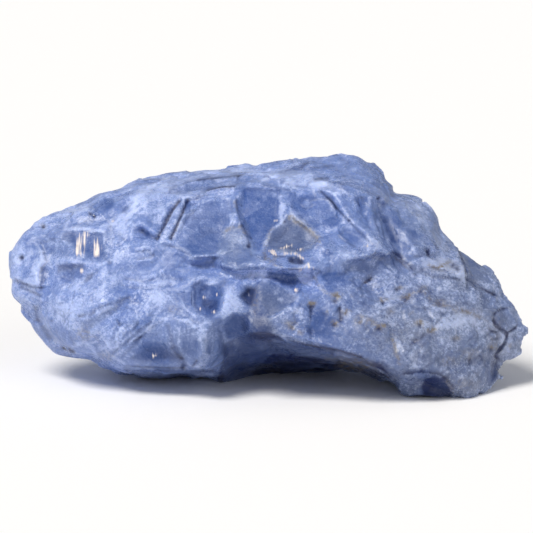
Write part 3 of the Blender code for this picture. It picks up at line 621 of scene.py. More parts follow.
# %% Break the small grains
calm = np.clip(notes["clear"], 0, 1)
crumbly = 0.3 + 0.55 * ramp(points[:, 0], -4, 30) * ramp(points[:, 2], 46, 36)  # the right end is the rougher one
rough = (1 - 0.7 * calm) * crumbly * (1 - 0.6 * rim) * (1 - 0.6 * worn)
fine_rolls, fine_room = break_grains(5.6, 11, 0.5, 0.34 * rough, (1.25, 1, 0.85))
normals = outward(points)
torn = rough * ramp(drift(9.0, 3.0), -0.1, 0.3)
stairs(fine_rolls, 2.4, 0.26, torn)
normals = outward(points)
break_grains(2.8, 23, 0.5, 0.16 * rough)
normals = outward(points)
note("frost", 0.18 * ramp(fine_rolls[:, 2], 0.55, 0.8) * ramp(fine_room, 0.0, 0.15))
note("clear", 0.25 * ramp(fine_rolls[:, 1], 0.65, 0.8) * ramp(fine_room, 0.0, 0.15))

# %% [markdown]
# ## Bruised edges and shaded hollows
# Handling and tumbling bruise the raised edges white, and hollows are darkened with painted shade.
# Comparing the surface with a smoothed copy of itself tells which is which.

# %% Edges and hollows
fine_relief = ((points - blurred(points, 6)) * normals).sum(axis=1)
broad_relief = ((points - blurred(points, 60)) * normals).sum(axis=1)
note("frost", 0.5 * ramp(fine_relief, 0.06, 0.4) * (0.3 + 0.7 * patchy) + 0.15 * ramp(broad_relief, 0.0, 1.4))
# Painted shade in hollows and creases, the deeper the darker.
note("crack_and_shade", 0.35 * ramp(-fine_relief, 0.08, 0.4) + 0.1 * ramp(-broad_relief, 0.3, 1.8))
print("relief, mm:", fine_relief.std().round(3), broad_relief.std().round(3))

# %% [markdown]
# ## Frost, clear depth and stains
# Last come the soft patches that no rule gives: the pale lobes of the left end, the frost beads
# in the middle, the deep blue of the belly, which is partly painted shade, and the ochre of old clay
# in the right-hand pits. Broad patches low on the face paint shade, and a few on the shelf, the
# flank and the right end paint light.

# %% Patches
# Frost patches: most are the stone's own pale grain; the broad negative ones low on the face and underneath are painted
# shade, and those on the shelf, the flank and the right end are painted light.
for x, w, wide, tall, amount, turn in [
    (-59, 27, 12, 6, 0.55, 10), (-33, 30.5, 5, 3, 0.5, 0), (-41, 55, 6, 4, 0.4, 30), (-58, 54, 9, 3, 0.3, 15),
    (-70, 39, 3, 4, 0.2, 0), (-46.5, 36, 6, 3, 0.4, 10), (-57, 37, 5, 2, 0.3, 0), (-75, 41, 2.5, 6, 0.2, 0),
    (-33, 35, 9, 1.2, 0.4, 5), (-11, 48, 1.5, 8, 0.2, 5), (7, 64.4, 3, 1.6, 0.4, 0), (-40, 49, 3, 2, 0.3, 0),
    (-19, 36.6, 3, 1.2, 0.35, 0), (-11, 30, 2, 5, 0.3, 20), (16, 64.4, 5, 1.2, 0.4, 0), (-27, 19, 2, 4, 0.3, 0),
    (-18.6, 18, 2.6, 5, 0.35, 0), (-39, 28, 3, 3, -0.3, 0), (11.5, 39.2, 1.6, 1, 0.8, 0), (52, 40, 6, 2, 0.4, 0), (24, 42, 4, 1, 0.3, 0),
    (33, 25, 8, 3, 0.2, 0), (42, 47, 2, 6, 0.25, -35), (50, 45, 4, 5, 0.4, -30), (45, 58, 5, 3, 0.25, -30),
    (-70, 52, 5, 1.5, 0.3, 35), (-47, 18, 3, 4, 0.3, 40), (57, 23, 8, 4, 0.5, 0), (71, 18, 4, 5, 0.35, 0),
    (-34, 62, 9, 3, 0.5, 12), (-18, 67.6, 16, 2, 0.55, 3), (4, 67, 7, 2, 0.45, 0), (45, 35.5, 7, 2.5, 0.35, 0),
    (19, 47.5, 2.5, 2.5, 0.3, 0), (62, 33, 5, 2, 0.3, -20), (-24, 54, 4, 5, 0.5, 0), (-3, 36, 4, 2, 0.3, 0),
    (-66, 37, 1.6, 4, -0.4, 0), (-50, 57, 5, 3, -0.4, 0), (-36, 53.5, 3, 3, -0.3, 0), (-40, 44.5, 4, 2.5, -0.35, 0),
    (-10, 42, 3, 2.5, -0.4, 0), (6.5, 58, 3, 5, -0.3, 0), (-14, 52, 3, 4, -0.3, 0), (-6, 57, 2.5, 3, -0.4, 0),
    (-63, 46, 5, 2, 0.35, 0), (-25, 45, 6, 3, -0.3, 0), (-28, 37, 9, 3, -0.35, 0), (18, 17, 6, 3, -0.4, 0),
    (0, 62, 4, 2, 0.3, 0), (16, 50, 3, 4, -0.25, 0), (-41, 58, 3, 3, -0.3, 0), (-6, 36.5, 6, 1.6, 0.4, 0), (-22, 32, 9, 6, -0.35, 0), (-33, 18, 6, 8, -0.35, 0),
    (8, 23, 15, 9, -0.5, -8), (30, 27, 3, 3, -0.3, 0), (26, 14, 9, 4, -0.4, -10), (50, 4, 7, 4, -0.5, 0),
    (37, 53, 2.5, 4, -0.3, 0), (43, 48, 2, 3, -0.3, 0), (-3.2, 29, 1.6, 7, -0.9, 0), (-3.4, 22.6, 3.4, 2.6, -0.6, 0),
    (56, 24, 7, 3, 0.2, 0), (40, 24, 3, 2, 0.25, 0), (36, 29.5, 3, 2, 0.25, 0),
    (-71.5, 39, 4.5, 4.5, -0.2, 0), (-76, 42, 2, 7, 0.35, 0), (-14.5, 37.4, 3, 1.6, -0.5, 0), (-24, 54, 3, 3, 0.3, 0),
    (-1.5, 38.5, 2, 3, 0.4, 0), (3.6, 30, 2, 1.2, 0.4, 0), (-56, 57, 5, 1.6, 0.35, 10), (-46, 36.5, 3, 2, 0.3, 0),
    (-30, 30.5, 2.5, 3, 0.4, 0), (10, 36.6, 3, 1.4, 0.4, 0), (71, 18, 3, 3, 0.25, 0), (-52, 29.5, 4, 2.5, -0.3, 0),
    (-42, 44.5, 4, 2, -0.3, 0), (-46, 54, 3, 3, -0.3, 0), (39, 25, 2.5, 2, -0.35, 0), (41.5, 48, 2, 3, -0.3, 0),
    (-5.5, 57, 2, 2.5, -0.5, 0), (18, 64.6, 4, 1.5, -0.25, 0), (-23, 37.5, 3, 1.5, -0.3, 0),
    (-59, 36, 3, 1.2, 0.3, 0), (-2.2, 23, 4, 4, -0.5, 0), (-0.6, 36.2, 2, 1.4, 0.4, 0), (18, 16.2, 14, 2.4, -0.3, -12), (51, 35, 5, 2, -0.2, 0),
    (61, 16, 3, 4, -0.1, 0), (53, 14, 4, 2, -0.25, 20), (46.5, 17.5, 4, 1.4, -0.35, 35), (24.5, 30, 2, 2, -0.4, 0),
    (-65, 45.4, 5, 1.6, -0.3, 0), (-30, 41.5, 4, 3.5, -0.35, 0), (-56, 54.6, 6, 2, -0.3, 15), (-22, 17, 3, 5, -0.25, 0),
    (22, 41, 8, 2.4, -0.2, 0), (-54, 46, 4, 3, -0.3, 0), (-15, 37, 4, 2, -0.4, 0), (-3, 25, 6, 5, -0.3, 0), (-45, 21, 2, 4, -0.2, 0),
    (49, 17, 2.6, 2.6, 0.35, 0), (54, 11, 4, 3, 0.2, 0), (-24, 54, 2.6, 2, 0.3, 0), (45, 33.4, 4, 2, 0.25, 0), (3, 31, 3, 2, 0.3, 0),
    (7, 36.6, 6, 1.4, 0.3, 0), (-18, 11.5, 4, 1.6, -0.25, 0), (-40, 11, 6, 1.6, -0.2, 0), (-69, 49.5, 4, 1.8, 0.3, 30),
    (3, 30, 4, 3, -0.3, 0), (38.5, 50, 1.6, 5, -0.5, 20), (30.5, 56, 1, 5, -0.3, 0), (18, 60, 2, 4, -0.2, 40), (31, 42.6, 9, 1.6, -0.3, 0), (16, 34, 8, 3, -0.3, 0),
]:
    dab("frost", x, w, wide, tall, amount, turn)
# Deeper clear colour: the broad patches low on the face and underneath are painted shade; the small ones are clear
# grain.
for x, w, wide, tall, amount, turn in [
    (-18, 49, 5, 6, 0.2, 0), (-2, 57, 5, 7, 0.3, 0), (-8, 11, 9, 6, 0.6, 0), (15, 11, 22, 4, 0.8, -6),
    (-20, 31, 12, 6, 0.25, 0), (8, 22, 16, 8, 0.3, -8), (-33, 17, 7, 7, 0.2, 0), (62, 16, 3, 4, 0.2, 0),
    (53, 13.5, 3, 2, 0.3, 0), (46.5, 17.5, 4, 1.4, 0.5, 35), (24.5, 30, 2, 2, 0.5, 0), (34, 19, 4, 2, 0.3, 20),
    (28, 16.5, 5, 1.6, 0.3, -10), (44, 27, 3, 2, 0.3, 0), (-65, 45.6, 5, 2, 0.3, 0), (-30, 41.5, 4, 3, 0.35, 0),
    (65, 8, 2.5, 4, 0.5, 0), (31, 39.4, 5, 1.6, 0.3, 20), (50, 30, 4, 1.5, 0.25, 0),
]:
    dab("clear", x, w, wide, tall, amount, turn)
for x, w, wide, tall, amount in [
    (52, 39.4, 6, 1.8, 0.3), (58.5, 26.6, 5, 1.2, 0.3), (26, 10, 6, 2, 0.4), (58, 5, 5, 3, 0.3), (68, 17, 3, 5, 0.25),
    (40, 20, 14, 6, 0.12), (66, 24, 4, 3, 0.2),
]:
    dab("stain", x, w, wide, tall, amount)

# %% Left end
tones(
    areas=[
                ("grey", 0.25, 1, [(-70, 46.5), (-66, 48.3), (-60.7, 50.3), (-49, 49.8), (-48.2, 42), (-66, 42), (-69, 43.5)]),
        ("clear", 0.45, 0.5, [(-60.7, 50.3), (-56, 50.6), (-49, 49.8), (-48.2, 42), (-49.5, 40.8), (-53, 42), (-57, 44.5), (-58.3, 46.2), (-61.5, 48.2)]),
        ("crack_and_shade", 0.3, 0.5, [(-61, 50.4), (-57.2, 50.4), (-57.4, 47), (-59, 46.8), (-61.6, 48.2)]),
        ("crack_and_shade", 0.15, 0.5, [(-50, 46), (-48.6, 46), (-48.1, 41), (-49.8, 41.5)]),
        # Painted highlights: the striped facet's bright bars.
        ("painted_glint", 0.62, 0.6, [(-57.6, 46), (-56.4, 50), (-54.8, 50), (-54.2, 46), (-55, 43.2), (-56.2, 42.4), (-57.2, 43.4)]),
        ("painted_glint", 0.55, 0.7, [(-54.8, 50), (-50.6, 49.6), (-49.8, 45), (-50.4, 43), (-51.6, 42.6), (-52.4, 46.4), (-54.4, 46.4)]),
        ("frost", 0.3, 1, [(-47.6, 50), (-42.4, 52), (-42, 44), (-46, 41.4), (-47.4, 43)]),
        ("crack_and_shade", 0.5, 0.5, [(-62.8, 40.3), (-58, 40.6), (-54.4, 40.8), (-54.8, 39.6), (-58, 38.8), (-61, 38.4), (-62.8, 37)]),
        ("clear", 0.45, 0.6, [(-62.5, 37.8), (-57, 38.4), (-54.5, 37), (-55.5, 34.8), (-58, 34), (-61.5, 35)]),
        ("crack_and_shade", 0.4, 0.4, [(-53.8, 37.6), (-51.6, 37.8), (-52.6, 36), (-54.6, 35)]),
        ("frost", 0.1, 0.6, [(-75.5, 41.5), (-70, 42), (-67.4, 43), (-66.3, 41), (-66.9, 39.8), (-68.2, 38), (-67.8, 33.8), (-70.5, 34), (-75, 36.6)]),
        ("crack_and_shade", 0.35, 0.4, [(-67.7, 39), (-66.4, 39.6), (-65.6, 38.5), (-66, 35.5), (-67.6, 34)]),
        ("clear", 0.5, 0.8, [(-53.6, 56), (-50, 60.8), (-46.5, 60), (-45.3, 57.5), (-49, 55.3)]),
        ("crack_and_shade", 0.5, 0.4, [(-44, 56), (-42.8, 57.4), (-41, 58), (-41.8, 56.4), (-43.4, 55.4)]),
    ],
    lines=[
        ("crack_and_shade", 0.3, 0.8, [(-70, 47.4), (-67.5, 48.3), (-65, 49.3), (-62.5, 49.8)]),
        ("frost", 0.5, 0.35, [(-61, 50.9), (-55, 51.1), (-49, 50.2)]),
        ("frost", 0.4, 0.35, [(-59.4, 54.5), (-60.5, 51)]),
        ("frost", 0.6, 0.35, [(-67.4, 42.6), (-66.4, 41), (-67.4, 39.6), (-68.4, 38), (-68, 34)]),
        ("crack_and_shade", 0.5, 0.4, [(-75.5, 35.8), (-72, 34.2), (-68, 33.4)]),
        ("frost", 0.6, 0.3, [(-54.2, 57), (-53, 56), (-52.2, 57), (-53, 55.4)]),
        ("crack_and_shade", 0.3, 0.3, [(-53.4, 54.6), (-52.6, 55.2), (-51.6, 54.4), (-52.4, 53.2), (-53.4, 54)]),
        ("frost", 0.4, 1.3, [(-47, 52), (-43, 54.6), (-39.6, 58.6), (-37.6, 62)]),
        ("crack_and_shade", 0.3, 0.4, [(-48.2, 50), (-48, 42), (-46.8, 40.8)]),
        ("frost", 0.4, 0.5, [(-54, 40.9), (-50, 40.2), (-47, 41.6)]),
    ],
    spots=[
        ("frost", 0.5, -65, 46.6, 1.4, 0.8), ("frost", 0.5, -63, 45.3, 0.5, 0.9), ("frost", 0.7, -57.5, 51.3, 1.4, 0.5),
        ("crack_and_shade", 0.5, -73.8, 42.3, 0.6, 0.7), ("frost", 0.8, -74.7, 41, 0.8, 0.5), ("crack_and_shade", 0.4, -67.7, 51.6, 0.4, 0.4),
        ("frost", 0.5, -67.1, 51.3, 0.6, 0.9), ("crack_and_shade", 0.35, -44, 49.4, 0.9, 0.6), ("crack_and_shade", 0.35, -43, 47.7, 0.7, 0.5),
        ("crack_and_shade", 0.35, -44.4, 46.3, 0.6, 0.5), ("frost", 0.8, -57.6, 41, 0.5, 0.4), ("frost", 0.7, -57.2, 39.5, 0.5, 0.4),
        ("clear", 0.4, -72, 47.5, 1.2, 2.5),
    ],
)

# %% Lower left and the tooth
tones(
    areas=[
        ("crack_and_shade", 0.6, 0.35, [(-53.4, 25.2), (-51.2, 26.9), (-50.9, 26), (-52.6, 24.8)]),
        ("crack_and_shade", 0.4, 0.5, [(-46, 28.4), (-43, 30.2), (-41, 31.2), (-40.4, 30.5), (-43, 28.4), (-45, 27.4)]),
        ("grey", 0.5, 0.8, [(-55.6, 23.5), (-52, 24.5), (-47, 27.4), (-43.5, 28), (-46, 25.4), (-50, 23), (-54, 21)]),
        ("clear", 0.35, 0.8, [(-55.6, 23.5), (-52, 24.5), (-47, 27.4), (-43.5, 28), (-46, 25.4), (-50, 23), (-54, 21)]),
        ("crack_and_shade", 0.5, 0.35, [(-45.3, 24.3), (-42.8, 23), (-44, 21.8)]),
        ("clear", 0.5, 0.6, [(-68.5, 29.5), (-65.8, 28.6), (-66, 26), (-68.4, 27.4)]),
        ("clear", 0.35, 0.7, [(-45.6, 34.3), (-42, 34.2), (-41.4, 31.8), (-44.6, 31.8)]),
        ("clear", 0.6, 0.6, [(-39.8, 21), (-38.6, 23), (-36, 25.8), (-33.4, 25.2), (-35, 22.8), (-38.6, 20.4)]),
        ("clear", 0.6, 1.8, [(-41, 12.6), (-38.4, 14.4), (-36, 17.4), (-33, 17.8), (-30.4, 16.2), (-27.4, 14.6), (-25.4, 12.4), (-28, 11.4), (-36, 11.4)]),
        ("crack_and_shade", 0.4, 0.8, [(-41, 12.6), (-38.4, 14.2), (-35, 16.4), (-30.4, 15.8), (-27.4, 14.2), (-25.6, 12.4), (-30, 12), (-36, 12)]),
        # Painted shade along the bottom edge.
        ("crack_and_shade", 0.45, 0.5, [(-42.6, 9.1), (-35, 8.9), (-25, 9.1), (-18, 9.6), (-13, 8), (-14, 4), (-24, 4), (-42, 4)]),
        ("frost", 0.3, 0.6, [(-25, 14.2), (-20, 13.4), (-16, 14.4), (-17.6, 12), (-19, 9.6), (-21.4, 9), (-24.8, 10.4)]),
        ("clear", 0.6, 0.4, [(-13.2, 22.4), (-9.8, 26.4), (-8.4, 25.6), (-5.4, 26.4), (-5.6, 21), (-8, 18.8), (-12, 18.4)]),
        ("crack_and_shade", 0.25, 0.6, [(-13.2, 22.4), (-9.8, 26.4), (-5.4, 26.4), (-5.6, 21), (-8, 18.8), (-12, 18.4)]),
        ("crack_and_shade", 0.3, 0.4, [(-8.2, 25.6), (-5.4, 26.3), (-5.6, 21), (-7.6, 20.6)]),
        ("frost", 0.35, 0.5, [(-15, 26), (-13, 28), (-11.8, 33.6), (-9.4, 34.6), (-8.8, 31), (-6.4, 28.6), (-6.6, 26.8), (-10, 26.4), (-13.2, 23.4)]),
        ("clear", 0.6, 0.5, [(-21.8, 31), (-20, 34.6), (-16.4, 34), (-14.2, 31.6), (-14.6, 27.6), (-16.4, 25), (-20, 25.6), (-22, 28)]),
        ("crack_and_shade", 0.15, 0.5, [(-21.8, 33.5), (-19, 35.6), (-17.8, 34), (-18.4, 31), (-20.5, 29.5), (-21.8, 30.5)]),
        ("crack_and_shade", 0.45, 0.5, [(-19.5, 30.2), (-14.6, 29.8), (-15, 26.2), (-17, 25.6), (-20, 27.6)]),
        ("crack_and_shade", 0.4, 0.5, [(-15.6, 34.5), (-12.6, 36.4), (-11.8, 35.4), (-14.4, 33)]),
        ("crack_and_shade", 0.2, 0.5, [(-19.6, 30.6), (-15, 30.6), (-14.8, 27.4), (-17, 27), (-19.4, 28)]),
        ("clear", 0.75, 0.6, [(-26.8, 31.6), (-22.8, 32.4), (-22.6, 28), (-24, 28)]),
        ("crack_and_shade", 0.8, 0.6, [(-8.6, 31), (-5, 34), (-3.8, 33), (-4.8, 27.6), (-7, 29)]),
    ],
    lines=[
        ("crack_and_shade", 0.5, 0.4, [(-55.8, 25), (-54.2, 25.3)]), ("crack_and_shade", 0.4, 0.45, [(-49.5, 27.6), (-46.6, 28.8)]),
        ("frost", 0.5, 0.5, [(-50, 26), (-45, 28.2)]), ("frost", 0.6, 0.7, [(-57.5, 16.4), (-54, 17), (-51.8, 15), (-51, 12.4)]),
        ("crack_and_shade", 0.8, 0.3, [(-61.2, 15.5), (-57.8, 14.2)]), ("crack_and_shade", 0.4, 0.4, [(-58.6, 18.6), (-57.5, 16.4)]),
        ("frost", 0.6, 0.4, [(-46, 12.8), (-42.5, 11)]), ("crack_and_shade", 0.4, 0.6, [(-69.5, 27.2), (-69.2, 23.6)]),
        ("crack_and_shade", 0.4, 0.7, [(-68.6, 23.6), (-65.6, 18.6)]), ("clear", 0.5, 1.2, [(-64, 13.2), (-54, 11.8), (-47, 8.4)]),
        ("frost", 0.5, 0.4, [(-43.6, 21.5), (-45, 19), (-44.5, 16.2)]), ("frost", 0.4, 0.5, [(-44.4, 20), (-40, 22), (-38, 25)]),
        ("frost", 0.4, 0.35, [(-41, 17.6), (-37.5, 19.8), (-30, 25)]), ("crack_and_shade", 0.6, 0.3, [(-39.6, 17.8), (-37.4, 19)]),
        ("crack_and_shade", 0.35, 0.35, [(-35, 21.4), (-31, 23.6)]), ("frost", 0.4, 0.35, [(-42, 9.8), (-30, 9.5), (-24.5, 9.7)]),
        ("frost", 0.9, 0.4, [(-26.4, 23.6), (-23.8, 24), (-21.4, 22)]), ("frost", 0.6, 0.4, [(-20, 22.2), (-19.4, 23), (-17, 23.4)]),
        ("frost", 0.2, 1.2, [(-19.4, 21.6), (-18.6, 18), (-18.6, 16)]), ("crack_and_shade", 0.7, 0.3, [(-22.2, 10.4), (-21, 12)]),
        ("crack_and_shade", 0.4, 0.5, [(-28.6, 15.6), (-25.4, 12.6)]), ("crack_and_shade", 0.4, 0.7, [(-14, 20), (-13.4, 16), (-13.6, 14.6)]),
        ("frost", 0.6, 0.4, [(-12.2, 18), (-11.6, 16)]), ("frost", 0.45, 0.35, [(-11, 16.8), (-8.8, 17.4), (-9.6, 15)]),
        ("frost", 0.35, 0.3, [(-20.6, 36), (-22.4, 32), (-22.4, 29), (-20.6, 26), (-17.4, 24)]),
        ("crack_and_shade", 0.3, 0.4, [(-21.6, 33), (-21.7, 29), (-20, 26.6)]), ("frost", 0.45, 0.3, [(-25.6, 29), (-21, 24.6)]),
    ],
    spots=[
        ("frost", 0.7, -38, 13.3, 0.4, 0.4), ("frost", 0.7, -33.6, 13.4, 0.4, 0.4), ("frost", 0.5, -35.3, 14.3, 0.3, 0.3),
        ("frost", 0.9, -16.4, 35.1, 1.5, 0.7), ("frost", 0.4, -12.8, 30.4, 1.2, 2.5), ("frost", 0.7, -18.3, 34.5, 0.6, 0.5), ("clear", -0.4, -17.3, 32.2, 0.7, 1.5), ("frost", 0.9, -17.3, 32.2, 0.6, 1.5), ("crack_and_shade", -0.4, -17.3, 32.2, 0.9, 1.6), ("clear", -0.9, -16.4, 35.2, 1.7, 0.9),
        ("clear", -0.5, -17.3, 32.2, 0.7, 1.5), ("crack_and_shade", -0.5, -16.4, 35.2, 1.5, 0.8),
        ("frost", 0.6, -19.8, 36.4, 1.6, 0.7), ("frost", 0.3, -20.4, 33, 1.0, 1.4),
        ("frost", -0.35, -27.3, 18, 1.6, 3.6), ("crack_and_shade", 0.12, -27.3, 18, 1.6, 3.6), ("frost", 0.5, -47.6, 17, 0.8, 0.8), ("frost", 0.5, -52.2, 19.2, 0.7, 0.6),
        ("stain", 0.4, -54, 20, 3.4, 2.4), ("stain", 0.3, -48, 13, 3, 1.5),
        ("stain", 0.4, -28, 27, 1.6, 1), ("frost", 0.4, -8, 22.5, 0.8, 0.3), ("crack_and_shade", 0.4, -10.2, 33.1, 0.4, 0.4),
    ],
)

